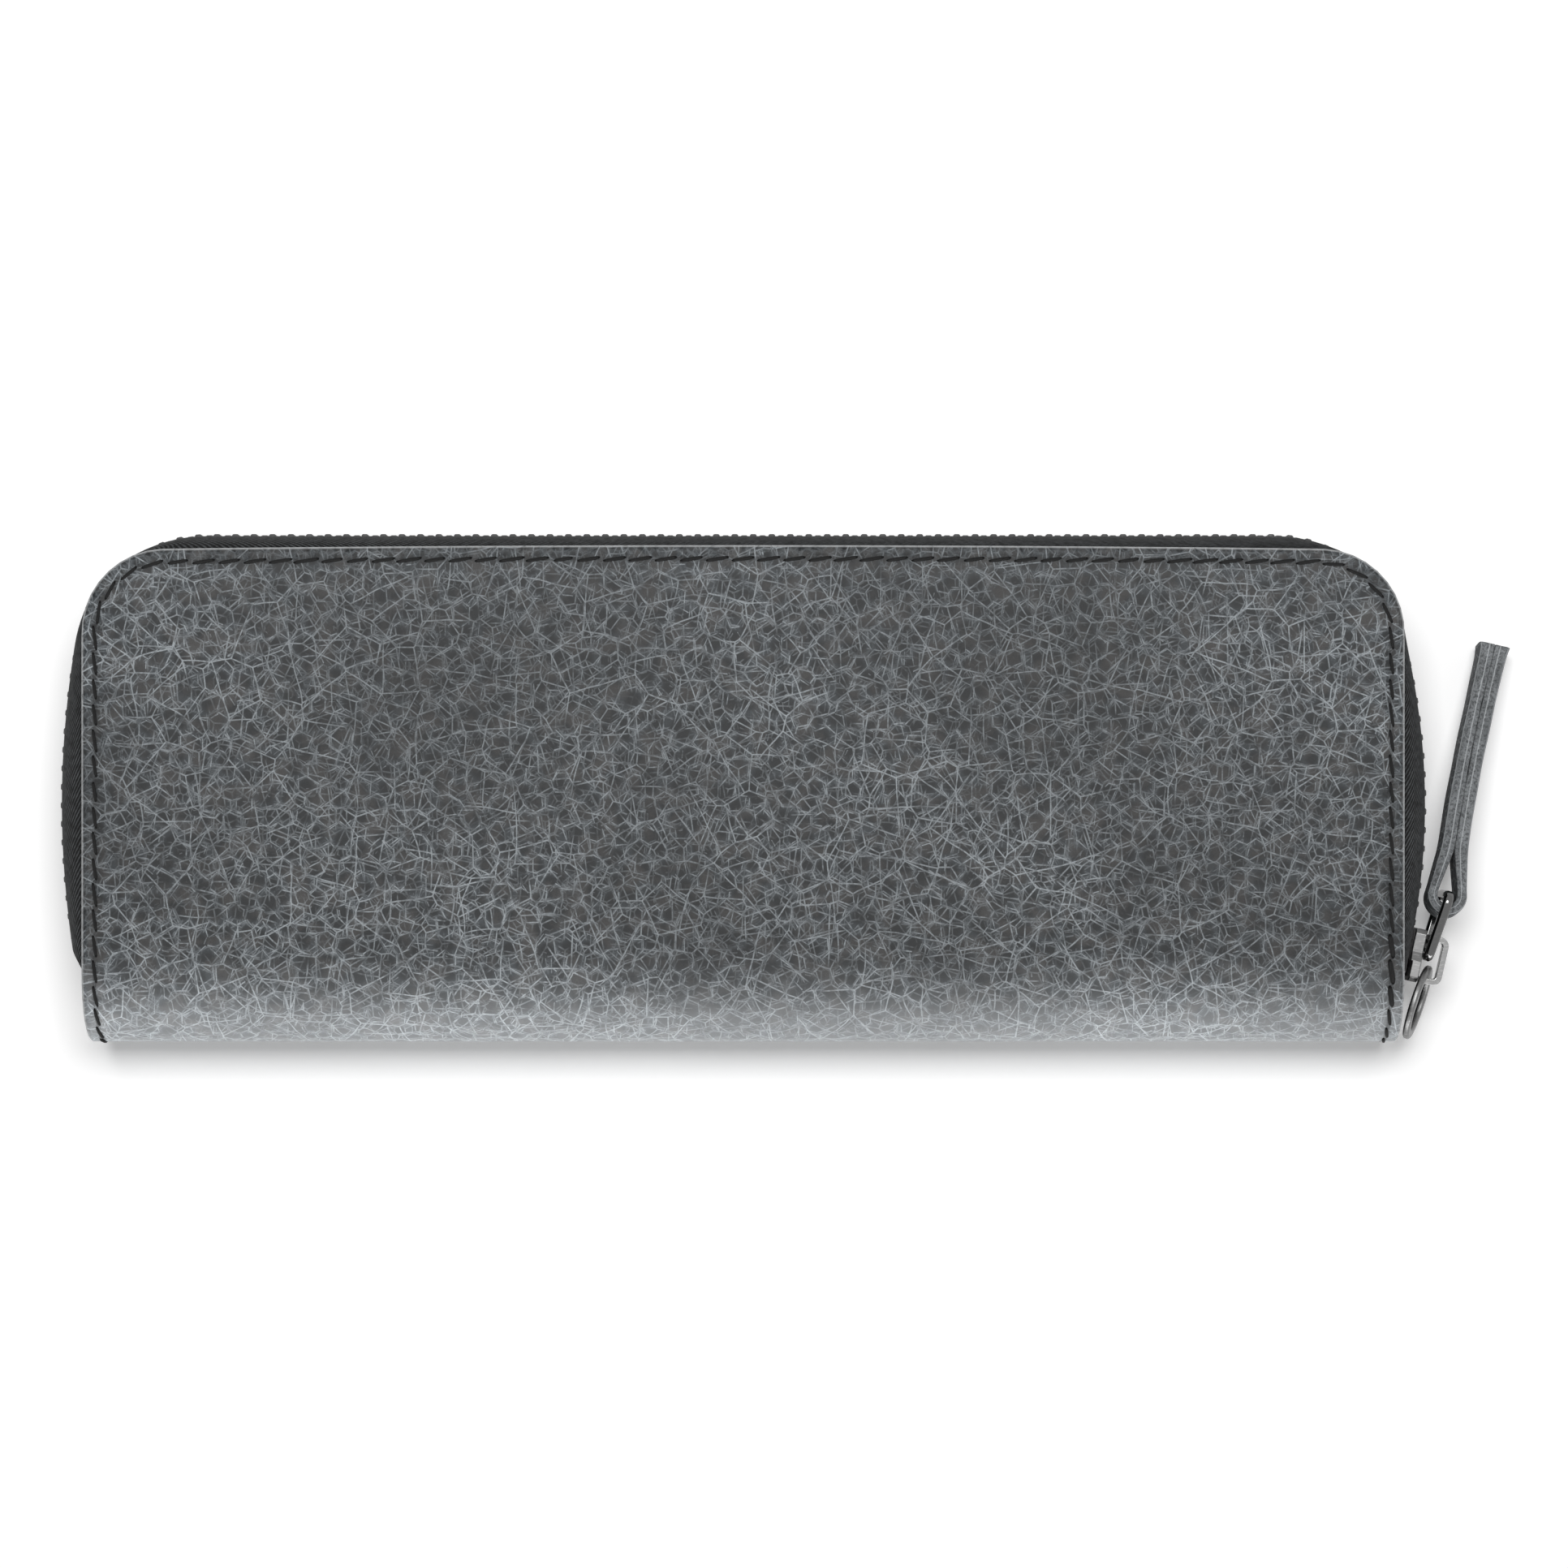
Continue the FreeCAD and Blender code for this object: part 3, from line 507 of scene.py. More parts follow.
# %% Leather covers
UV_UNIT = 10 * MM
bend_reach = 1.25 * fold_quarter


def cover_piece(name, side, *materials):
    """One cover's leather with half of the fold: the net wrapped round the case."""
    corners, triangles, row_of = pebble_net()
    sides, side_of, beside = net_sides(triangles)
    middles = corners[triangles].mean(1)
    flat = np.concatenate([corners, middles])
    along, around = flat.T
    depth = edge_distance(along, around)
    lift = leather_lift(row_of, depth, around)
    fans = np.concatenate([triangles, len(corners) + np.arange(len(triangles))[:, None]], 1)
    faces = fans[:, [[1, 2, 3], [2, 0, 3], [0, 1, 3]]]
    order = [0, 1, 2] if side > 0 else [0, 2, 1]
    piece = put_mesh(name, on_cover(side, along, around, lift), faces[:, :, order].reshape(-1, 3), *materials)
    bundles = (*strand_bundles(corners, middles, sides, beside), strand_strengths(sides, row_of))
    keep_strands(piece, flat[faces], order, side_of, bundles)
    keep_pebbles(piece, flat[faces], order, corners, faces, pebble_sizes(corners, sides))
    keep_values(piece, "edge", "FLOAT", "POINT", depth / MM)
    # How far round the fold a place is: the finish pales the fold by it, partly as stretched leather, partly
    # as painted light.
    bent_share = np.minimum(around / bend_reach, 1)
    keep_values(piece, "bent", "FLOAT", "POINT", (1 + np.cos(math.pi * bent_share)) / 2)
    keep_uv(piece, "hide", flat / UV_UNIT)
    thicken(piece, leather, 1, 2)
    return piece


# %% [markdown]
# The finish starts from dark pebbles. Pale lines come over them from three sources: creases and rays from
# the net, and hairlines, which are the edges of cell textures of several sizes, each shown only in
# patches. The whole is then toned in clouds and made paler where the fold bends, partly as stretched
# leather and partly as painted light on the fold. Along the seam it is darkened as painted shade in the
# groove, and at its cut edge it is paler, partly by wear and partly as a painted highlight. Such masks
# could be painted; worked out from distances, they stay sharp at any size.

# %% Lines of the grain
strand_core, strand_rim = 0.02, 0.13


def kept(tree, name, output="Fac"):
    """A value that the piece keeps for its material."""
    return add(tree, "Attribute", attribute_name=name).outputs[output]


def drawn_lines(tree, name, shift):
    """A mask of the lines a piece keeps distances to: full in the core, none past the rim, by strength."""
    plain = add(tree, "VectorMath", {0: kept(tree, name, "Vector")}, operation="ABSOLUTE").outputs[0]
    moved = add(tree, "VectorMath", {0: plain, 1: shift}, operation="ADD").outputs[0]
    limits = {7: (strand_core,) * 3, 8: (strand_rim,) * 3, 9: (1,) * 3, 10: (0,) * 3}
    lines = add(tree, "MapRange", {"Vector": moved, **limits}, data_type="FLOAT_VECTOR",
                interpolation_type="SMOOTHSTEP").outputs["Vector"]
    drawn = scaled(tree, lines, kept(tree, name + "_strength", "Vector"))
    parts = add(tree, "SeparateXYZ", {0: drawn}).outputs
    return combine(tree, "MAXIMUM", combine(tree, "MAXIMUM", parts[0], parts[1]), parts[2])


def pebble_mask(tree, shift):
    """Nothing on a pebble and one between pebbles, from the distance to the nearer of two."""
    reach = []
    for name in ("pebble_a", "pebble_b"):
        away = kept(tree, name, "Vector")
        reach.append(add(tree, "VectorMath", {0: away}, operation="LENGTH").outputs["Value"])
    nearest = combine(tree, "MINIMUM", *reach)
    return ramp(tree, combine(tree, "ADD", nearest, combine(tree, "MULTIPLY", shift, 1.6)), 0.5, 1.3)


def net_lines(tree, shift, between):
    """The strands of the net: creases everywhere, fainter on pebbles, and rays only near the junctions."""
    on_creases = ramp(tree, between, 0, 0.4, 0.4, 0.85)
    creases = combine(tree, "MULTIPLY", drawn_lines(tree, "crease", shift), on_creases)
    rays = combine(tree, "MAXIMUM", *[drawn_lines(tree, name, shift) for name in ("ray", "star")])
    rays = combine(tree, "MULTIPLY", rays, ramp(tree, between, 0.5, 0.95, 0.0, 0.4))
    return combine(tree, "MAXIMUM", creases, rays)


# %% Hairlines
hairline = 0.0165
hair_bend = 0.09
HAIRLINES = ((1.2, 1.0), (1.6, 0.95), (2.1, 0.85), (2.9, 0.65), (5.2, 0.3))


def hairlines(tree, hide):
    """Edges of cells of several sizes: a line where the distance to an edge is small, in patches of noise."""
    sway = add(tree, "TexNoise", {"Vector": hide, "Scale": 1.3, "Detail": 1.0}, noise_dimensions="2D")
    hairs = 0.0
    for number, (scale, weight) in enumerate(HAIRLINES):
        width = hairline * scale
        bending = {0: sway.outputs["Color"], 1: (hair_bend, hair_bend, 0), 2: (number * 1.7, number * 0.9, 0)}
        bend = add(tree, "VectorMath", bending, operation="MULTIPLY_ADD").outputs[0]
        warped = add(tree, "VectorMath", {0: hide, 1: bend}, operation="ADD").outputs[0]
        cells = add(tree, "TexVoronoi", {"Vector": warped, "Scale": scale}, feature="DISTANCE_TO_EDGE",
                    voronoi_dimensions="2D").outputs["Distance"]
        patch = add(tree, "TexNoise", {"Vector": hide, "Scale": scale * 0.9, "Detail": 2.0, "W": scale},
                    noise_dimensions="4D").outputs[0]
        shown = combine(tree, "MULTIPLY", ramp(tree, patch, 0.38, 0.56), weight)
        line = combine(tree, "MULTIPLY", ramp(tree, cells, width * 0.2, width, 1.0, 0.0), shown)
        hairs = combine(tree, "MAXIMUM", line, hairs)
    return combine(tree, "MULTIPLY", hairs, 0.92)


# %% Leather finish
# Fold colour: partly stretched leather, partly painted light. Seam colour: painted shade in the groove. Edge
# colour: partly wear, partly a painted highlight.
DARK_PEBBLE, PALE_PEBBLE, WAXY_PEBBLE = grey(25, 0.09), grey(48, 0.08), grey(62, -0.03)
LINE_COLOUR, FOLD_STRETCH_AND_LIGHT_COLOUR = grey(153, 0.035), grey(198, 0.02)
SEAM_SHADE_COLOUR, EDGE_WEAR_AND_HIGHLIGHT_COLOUR = grey(30, 0.02), grey(172, 0.01)


def bump(tree, height, strength, distance):
    """A normal tilted by the slope of a height."""
    return add(tree, "Bump", {"Height": height, "Strength": strength, "Distance": distance}).outputs[0]


def soft_shader(tree, shader, colour, rough, relief, specular=0.5):
    """Fills what every soft finish sets: colour, roughness, relief and the strength of its reflection."""
    reflection = {"Roughness": rough, "Specular IOR Level": specular}
    fill(tree, shader, {"Base Color": colour, "Normal": relief, **reflection})


def leather_material():
    """Dark pebbles under pale creases and hairlines, paler where it bends and along its cut edge.

    Both pale parts are partly painted light; along the seam it is darkened as painted shade.
    """
    material, tree, shader = new_material("crackled_leather")
    hide = add(tree, "UVMap", uv_map="hide").outputs[0]
    wobble = add(tree, "TexNoise", {"Vector": hide, "Scale": 9.0, "Detail": 3.0}, noise_dimensions="2D")
    shift = about_zero(tree, wobble.outputs[0], 0.16)
    between = pebble_mask(tree, shift)
    network = combine(tree, "MAXIMUM", net_lines(tree, shift, between), hairlines(tree, hide))
    breaks = add(tree, "SeparateXYZ", {0: wobble.outputs["Color"]}).outputs[1]
    network = combine(tree, "MULTIPLY", network, ramp(tree, breaks, 0.36, 0.54, 0.55, 1.0))
    tone = clouds(tree, hide, 0.24, 0.68, 1.17)
    speckle = clouds(tree, hide, 42.0, 0.82, 1.18)
    waxy = clouds(tree, hide, 2.6, -0.4, 0.6)
    pebble = mix(tree, between, DARK_PEBBLE, PALE_PEBBLE)
    pebble = mix(tree, combine(tree, "MAXIMUM", waxy), pebble, WAXY_PEBBLE)
    drawn = mix(tree, combine(tree, "MULTIPLY", network, 0.92), pebble, LINE_COLOUR)
    shaded = scaled(tree, drawn, combine(tree, "MULTIPLY", tone, speckle))
    bent = kept(tree, "bent")
    # Painted light: the fold is brightened and paled, partly as stretched leather, partly as the light it
    # catches.
    stretched = scaled(tree, shaded, combine(tree, "ADD", combine(tree, "MULTIPLY", bent, 1.05), 1.0))
    stretched = mix(tree, combine(tree, "MULTIPLY", bent, 0.385), stretched, FOLD_STRETCH_AND_LIGHT_COLOUR)
    edge = kept(tree, "edge")
    # Painted shade: darker along the seam, where shade falls in its groove.
    seam = combine(tree, "ABSOLUTE", combine(tree, "SUBTRACT", edge, seam_inset / MM))
    seam_shaded = mix(tree, ramp(tree, seam, 0.12, 0.5, 0.5, 0.0), stretched, SEAM_SHADE_COLOUR)
    # The thin pale strip at the cut edge is partly wear, partly a painted highlight on the rolled edge.
    worn = mix(tree, ramp(tree, edge, 0.08, 0.4, 0.8, 0.0), seam_shaded, EDGE_WEAR_AND_HIGHLIGHT_COLOUR)
    rough = combine(tree, "ADD", combine(tree, "MULTIPLY", network, 0.12), 0.54)
    height = combine(tree, "SUBTRACT", combine(tree, "MULTIPLY", speckle, 0.12), network)
    soft_shader(tree, shader, worn, rough, bump(tree, height, 0.55, 0.12 * MM), 0.28)
    return material


# %% Flesh and cut edges
def fibre_noise(tree, place, scale, roughness):
    """Fine rough noise, as of the fibres of leather."""
    sockets = {"Vector": place, "Scale": scale, "Detail": 5.0, "Roughness": roughness}
    return add(tree, "TexNoise", sockets).outputs[0]


def flesh_material(name, level):
    """The fibrous side or cut edge of leather: pale, with fine streaks."""
    material, tree, shader = new_material(name)
    place = add(tree, "TexCoord").outputs["Object"]
    fibres = fibre_noise(tree, place, 2600.0, 0.7)
    tone = clouds(tree, place, 180.0, 0.0, 1.0)
    colour = mix(tree, tone, grey(level * 0.75, 0.02), grey(level, 0.015))
    colour = mix(tree, ramp(tree, fibres, 0.4, 0.65, 0.0, 0.5), colour, grey(level * 1.2, 0.01))
    soft_shader(tree, shader, colour, 0.85, bump(tree, fibres, 0.5, 0.1 * MM))
    return material


# %% Leather on the case
hide_finish = leather_material()
flesh_finish = flesh_material("leather_flesh", 96)
cut_finish = flesh_material("leather_cut_edge", 150)
finishes = (hide_finish, flesh_finish, cut_finish)
covers = {name: cover_piece(name + "_leather", side, *finishes) for name, side in SIDES.items()}
for name, cover in covers.items():
    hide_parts(name + "_cover")
    print(cover.name, len(cover.data.polygons), "faces")
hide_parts("spine_fold")


# %% [markdown]
# A saddle-stitched row follows the outline: each stitch is a short fat thread that leaves one hole,
# arches over the leather and dives into the next, lying a little aslant. It is one tapered tube, repeated
# along the seam. An array modifier on a curve would make all stitches alike; as arrays, each one gets its
# own length.

# %% Stitches
stitch_pitch = 3.88 * MM
stitch_length, length_spread = 3.7 * MM, 0.06
thread_radius = 0.25 * MM
stitch_slant = math.radians(9)
stitch_arch, stitch_sink = 0.28 * MM, 0.12 * MM
lock_reach, lock_swell = 5.0 * MM, 1.6
THREAD_SPOKES = 8
STITCH_SHARES = np.array([-0.99, -0.93, -0.82, -0.6, -0.3, 0, 0.3, 0.6, 0.82, 0.93, 0.99])


def left_of(heading):
    """Flat directions turned a quarter turn to the left."""
    return stacked(-heading[:, 1], heading[:, 0])


def rotation(angle, first, second):
    """A matrix that turns the first axis towards the second."""
    matrix = np.eye(3)
    matrix[[first, second], [first, second]] = math.cos(angle)
    matrix[second, first] = math.sin(angle)
    matrix[first, second] = -math.sin(angle)
    return matrix


def repeated(faces, count, points_each):
    """The same faces for many copies: each copy's numbers start where the copy before ends."""
    return (faces[None] + np.arange(count)[:, None, None] * points_each).reshape(-1, faces.shape[1])


def stitch_piece(name, side, material):
    """Tubes carried along the seam, thin at the ends and arched between.

    At a share x of a stitch's half length, its radius goes as the square root of 1 - x to the fourth, and its
    height as 1 - x to the sixth.
    """
    path = outline_path(seam_inset, stitch_pitch)
    middle = (path[1:] + path[:-1]) / 2
    heading = path[1:] - path[:-1]
    heading /= np.linalg.norm(heading, axis=1, keepdims=True)
    heading = heading @ rotation(stitch_slant * side, 0, 1)[:2, :2].T
    beside = left_of(heading)
    share = STITCH_SHARES
    turn = np.linspace(0, 2 * math.pi, THREAD_SPOKES, endpoint=False)
    locked = (middle[:, 0] > 0) & (np.abs(middle[:, 1] - fold_quarter) < lock_reach)
    radius = thread_radius * np.sqrt(1 - share ** 4) * np.where(locked, lock_swell, 1.0)[:, None]
    lie = stitch_arch * (1 - share ** 6) - groove_depth - stitch_sink
    uneven = rng.normal(1, length_spread, (len(middle), 1, 1, 1))
    run = heading[:, None, None] * (share * stitch_length / 2)[:, None, None] * uneven
    width = beside[:, None, None] * (radius[..., None] * np.cos(turn))[..., None]
    place = middle[:, None, None] + run + width
    lift = lie[:, None] + radius[..., None] * np.sin(turn)
    lift = lift if side > 0 else np.minimum(lift, 0)
    points = on_cover(side, place[..., 0], place[..., 1], lift)
    faces = repeated(grid_quads(len(share), len(turn), wrap=True), len(middle), len(share) * len(turn))
    faces = faces if side > 0 else faces[:, ::-1]
    piece = put_mesh(name, points, faces, material)
    keep_uv(piece, "thread", np.broadcast_to(stacked(turn, share[:, None]), place.shape))
    return piece


# %% Thread finish
def thread_material():
    """Waxed dark thread: slanting bands on the tube are the twist.

    The ends are painted near black, as shade where the thread dives into its holes.
    """
    material, tree, shader = new_material("waxed_thread")
    wound = add(tree, "UVMap", uv_map="thread").outputs[0]
    slanted = add(tree, "VectorRotate", {"Vector": wound, "Angle": 0.7}, rotation_type="Z_AXIS").outputs[0]
    bands = {"Vector": slanted, "Scale": 0.9, "Distortion": 0.6}
    plies = add(tree, "TexWave", bands, bands_direction="X").outputs[1]
    yarn = mix(tree, plies, grey(15), grey(42))
    ends = combine(tree, "ABSOLUTE", add(tree, "SeparateXYZ", {0: wound}).outputs[1])
    # Painted shade: the thread's ends turn near black where it dives into its holes.
    colour = mix(tree, ramp(tree, ends, 0.68, 0.86), yarn, grey(5))
    soft_shader(tree, shader, colour, 0.75, bump(tree, plies, 0.5, 0.1 * MM), 0.15)
    return material


thread_finish = thread_material()
seams = {name: stitch_piece(name + "_stitches", side, thread_finish) for name, side in SIDES.items()}
print("stitches:", [len(seam.data.polygons) for seam in seams.values()])


# %% [markdown]
# The zip runs up the left side, over the top and down the right, and bulges out between the covers. Its
# course is five runs: a large arc, a corner arc, a straight, a corner arc and a large arc. The further
# out it bulges, the rounder the corners are, so the course is a function of that share, and a tape is the
# course carried up a quarter ellipse to the upright band that the teeth grip. A curve drawn by hand could
# do for one line, but not for all the rows between cover and teeth.

# %% Zip course
zip_bulge_side, zip_bulge_top = 3.8 * MM, 2.15 * MM
zip_left_radius, zip_right_radius = 140 * MM, 100 * MM
zip_corner_radius = 20 * MM
zip_side_middle = -1.0 * MM
tape_thickness = 0.7 * MM
tape_end = fold_line + 0.3 * MM
tape_tuck = 3.5 * MM
tape_edge_gap = 1.4 * MM
tooth_leg = 1.2 * MM
side_steps, corner_steps, top_steps = 60, 22, 140
least_share = 0.02


def zip_course(share, grow=0.0):
    """Points of the course at a share of the full bulge, moved outwards by grow, from left to right.

    The left end is cut on a slant, so the course starts further up the further out it is.
    """
    share = max(share, least_share)
    top = free_edge + share * zip_bulge_top + grow
    corner = corner_radius + share * (zip_corner_radius - corner_radius) + grow
    peak = half_length + share * zip_bulge_side + grow
    rise = top - corner - zip_side_middle
    halves = []
    for large, tuck in ((zip_left_radius, tape_tuck), (zip_right_radius, 0.0)):
        radius = large / share + grow
        centre = peak - radius
        reach = math.sqrt((radius - corner) ** 2 - rise ** 2)
        high = math.atan2(rise, reach)
        low = math.asin((tape_end + share * tuck - zip_side_middle) / radius)
        side = np.linspace(low, high, side_steps)
        turn = np.linspace(high, math.pi / 2, corner_steps)[1:]
        out = np.concatenate([centre + radius * np.cos(side), centre + reach + corner * np.cos(turn)])
        up = np.concatenate([zip_side_middle + radius * np.sin(side), top - corner + corner * np.sin(turn)])
        halves.append(stacked(out, up))
    left = halves[0] * (-1, 1)
    right = halves[1][::-1]
    middle = np.linspace(left[-1], right[0], top_steps)[1:-1]
    return np.concatenate([left, middle, right])


def travel_along(path):
    """The distance walked to each point of a path."""
    steps = np.linalg.norm(np.diff(path, axis=0), axis=1)
    return np.concatenate([[0], np.cumsum(steps)])


course_length = travel_along(zip_course(1))[-1]
print("zip course:", round(course_length / MM, 1), "mm")

# %% Zip tapes
tape_margin, tape_clearance = 4.0 * MM, 0.02 * MM


def tape_piece(name, side, material):
    """A tape's outer face: a flat sewn margin, a quarter ellipse outwards and an upright band."""
    foot = leather + tape_clearance
    shoulder = mid_height - tape_edge_gap - tooth_leg
    angle = np.radians(np.linspace(0, 90, 13))
    shares = np.concatenate([np.zeros(3), np.sin(angle), np.ones(2)])
    sewn = np.array([-1, -0.5, -0.05]) * tape_margin
    outer = tape_thickness / 2
    grows = np.concatenate([sewn, np.sin(angle) * outer, np.full(2, outer)])
    band = np.array([0.5, 1.0]) * (mid_height - tape_edge_gap - shoulder) + shoulder
    heights = np.concatenate([np.full(3, foot), foot + (shoulder - foot) * (1 - np.cos(angle)), band])
    rows = np.stack([zip_course(share, grow) for share, grow in zip(shares, grows)])
    level = mid_height + side * (mid_height - heights)[:, None]
    points = stacked(rows[..., 0], rows[..., 1], level)
    faces = grid_quads(*rows.shape[:2])
    piece = put_mesh(name, points, faces if side > 0 else faces[:, ::-1], material)
    climb = travel_along(points[:, len(rows[0]) // 2])
    keep_uv(piece, "weave", stacked(travel_along(rows[-1]), climb[:, None]) / MM)
    thicken(piece, tape_thickness)
    return piece


# %% [markdown]
# Tape, lining and elastic are all woven, so one function makes their finishes. A photographed weave would
# do from afar; bands on the piece's own map stay sharp and follow every curve of the cloth.

# %% Woven finish
def cloth_material(name, scale, slant, dark, light, rough=0.9):
    """Woven cloth: slanting ribs with a fleck of paler yarn, all on the piece's own weave coordinates."""
    material, tree, shader = new_material(name)
    weave = add(tree, "UVMap", uv_map="weave").outputs[0]
    cloth = use_group(tree, twill, {"Vector": weave, "Scale": scale, "Slant": slant})
    fleck = combine(tree, "MULTIPLY", cloth.outputs["Rib"], cloth.outputs["Yarn"])
    colour = mix(tree, ramp(tree, fleck, 0.1, 0.6), grey(dark, 0.03), grey(light, 0.03))
    toned = scaled(tree, colour, clouds(tree, weave, 0.12, 0.85, 1.15))
    soft_shader(tree, shader, toned, rough, bump(tree, cloth.outputs["Rib"], 0.6, 0.15 * MM), 0.25)
    return material


tape_finish = cloth_material("zip_twill", 1.0, math.radians(20), 8, 70)
tapes = {name: tape_piece(name + "_zip_tape", side, tape_finish) for name, side in SIDES.items()}
for name, tape in tapes.items():
    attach(tape, name)
    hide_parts(name + "_tape")
    print(tape.name, len(tape.data.polygons), "faces")


# %% [markdown]
# Metal comes last in a zip: teeth clamped over the tape's edge, a half pitch apart on the two rows. One
# tooth is a rounded section carried from its legs to its nose; all of them are placed at once by turning
# that shape to the course's outward angle. They keep to the places of the frame's own teeth. Copies along
# a curve object would do too, but could not be set so exactly.

# %% Teeth
tooth_pitch = 2.83 * MM
tooth_thickness, tooth_depth, tooth_reach = 1.2 * MM, 1.7 * MM, 1.15 * MM
stop_length = 1.2 * MM
SPOKES = 10


def superellipse(turn, power):
    """Cosine and sine of an angle, each raised to a power with its sign kept: small powers are squarer."""
    cos, sin = np.cos(turn), np.sin(turn)
    return np.sign(cos) * np.abs(cos) ** power, np.sign(sin) * np.abs(sin) ** power


def tube_faces(rings, spokes):
    """Triangles of a tube of rings, closed by one more point at its start and another at its end."""
    walls = grid_quads(rings, spokes, wrap=True)
    split = np.stack([walls[:, [0, 1, 2]], walls[:, [0, 2, 3]]], 1).reshape(-1, 3)
    ring = np.arange(spokes)
    after = (ring + 1) % spokes
    last = (rings - 1) * spokes
    start = stacked(rings * spokes, after, ring)
    stop = stacked(rings * spokes + 1, last + ring, last + after)
    return np.concatenate([split, start, stop])


def tooth_shape():
    """A rounded section, a power-four superellipse, as deep and wide as legs, waist, head and nose are."""
    low = -tape_edge_gap - tooth_leg
    levels = np.array([low, low + 0.12 * MM, *np.array([-1.0, -0.55, 0.05, 0.65, 1.0]) * MM, tooth_reach])
    depth = np.array([0.76, 0.84, 0.84, 0.8, 0.8, 0.76, 0.62, 0.38]) * tooth_depth / 2
    width = np.array([0.8, 0.94, 0.94, 0.8, 0.98, 0.98, 0.8, 0.5]) * tooth_thickness / 2
    turn = np.linspace(0, 2 * math.pi, SPOKES, endpoint=False) + math.pi / SPOKES
    across, along = superellipse(turn, 0.5)
    rings = stacked(depth[:, None] * across, width[:, None] * along, levels[:, None])
    caps = stacked(0, 0, levels[[0, -1]])
    return np.concatenate([rings.reshape(-1, 3), caps]), tube_faces(len(levels), SPOKES)


def tooth_row(name, side, places, material):
    """Copies of the tooth at distances along the course; the front row mirrors the back row in height."""
    course = zip_course(1)
    travel = travel_along(course)
    ahead = np.gradient(course, travel, axis=0)
    outward = np.unwrap(np.arctan2(ahead[:, 0], -ahead[:, 1]))
    angle = np.interp(places, travel, outward)
    points, faces = tooth_shape()
    cos, sin = np.cos(angle)[:, None], np.sin(angle)[:, None]
    x = np.interp(places, travel, course[:, 0])[:, None] + points[:, 0] * cos - points[:, 1] * sin
    y = np.interp(places, travel, course[:, 1])[:, None] + points[:, 0] * sin + points[:, 1] * cos
    z = mid_height - side * points[:, 2]
    faces = repeated(faces, len(places), len(points))
    return put_mesh(name, stacked(x, y, z), faces if side < 0 else faces[:, ::-1], material)


print("tooth:", len(tooth_shape()[1]), "faces")


# %% Metal finish
def metal_material(name, level, rough, spread):
    """Handled metal: an even colour whose polish varies in fine streaks."""
    material, tree, shader = new_material(name)
    place = add(tree, "TexCoord").outputs["Object"]
    worn = use_group(tree, scuff, {"Vector": place, "Scale": 900.0, "Rough": rough, "Spread": spread})
    colour = mix(tree, worn.outputs["Mark"], grey(level), grey(level * 1.25))
    fill(tree, shader, {"Base Color": colour, "Roughness": worn.outputs["Roughness"], "Metallic": 1.0})
    return material


# %% Rows of teeth
gunmetal = metal_material("dark_gunmetal", 84, 0.36, 0.2)
first_tooth = stop_length * 1.5 + tooth_pitch / 2
slider_height, slider_lean = 3.0 * MM, math.radians(13)
chain_end = course_length - slider_height / math.cos(slider_lean)
count = int((chain_end - first_tooth) / tooth_pitch)
for name, side in SIDES.items():
    offset = 0.5 if side > 0 else 0.0
    places = first_tooth + (np.arange(count) + offset) * tooth_pitch
    row = tooth_row(name + "_tooth_row", side, places, gunmetal)
    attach(row, name)
    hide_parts(name + "_teeth", name + "_teeth_right")
    print(row.name, count, "teeth")

# %% [markdown]
# Slider, crown, link, ring and stops are small castings whose shape the frame already has. Modifiers weld
# their corners, join each flat into one face and bevel it so that edges catch the light, and each gets
# its own polish.

# %% Cast metal pieces
def set_finish(piece, finish):
    """Gives a piece of the frame one finish."""
    piece.data.materials.clear()
    piece.data.materials.append(finish)


slider_metal = metal_material("slider_gunmetal", 112, 0.32, 0.16)
bright_nickel = metal_material("bright_nickel", 150, 0.16, 0.08)
black_nickel = metal_material("black_nickel", 96, 0.08, 0.06)
ring_metal = metal_material("satin_ring", 110, 0.42, 0.2)
CASTINGS = {
    "slider_body": (slider_metal, 0.22), "slider_crown": (bright_nickel, 0.1),
    "pull_link": (black_nickel, 0.16), "pull_ring": (ring_metal, 0.08), "bottom_stop": (gunmetal, 0.12),
    "back_top_stop": (gunmetal, 0.12), "front_top_stop": (gunmetal, 0.12),
}
for node, (finish, bevel) in CASTINGS.items():
    casting = frame["nodes"][node]
    set_finish(casting, finish)
    weld = casting.modifiers.new("weld", "WELD")
    weld.merge_threshold = 0.005 * MM
    flats = casting.modifiers.new("flats", "DECIMATE")
    flats.decimate_type = "DISSOLVE"
    flats.angle_limit = math.radians(1)
    rounded = casting.modifiers.new("rounded", "BEVEL")
    rounded.width = bevel * MM
    rounded.segments = 2
    rounded.limit_method = "ANGLE"
    rounded.angle_limit = math.radians(40)
    rounded.harden_normals = True
print("castings:", len(CASTINGS))

# %% [markdown]
# The pull strap is one strip of leather folded round the link's far bar and glued to itself. Seen from
# above it shows its cut edge: fibrous, with a pale skin line along each face. It is a rectangle with soft
# corners carried along the folded path, which is two straight legs and the loop between them. A cloth
# simulation could fold it; a formula closes it exactly round the link.

# %% Strap path
joints = {joint["name"]: joint for joint in frame["joints"]}
strap_pivot = np.array(joints["strap_swing"]["pos_m"])
strap_angle, strap_droop = math.radians(77.4), math.radians(11.5)
strap_length, strap_width = 40 * MM, 4.6 * MM
strap_layer = 2.12 * MM
loop_wall = 1.6 * MM
eye_radius, eye_offset = 1.5 * MM, -0.35 * MM
loop_length = 7.0 * MM


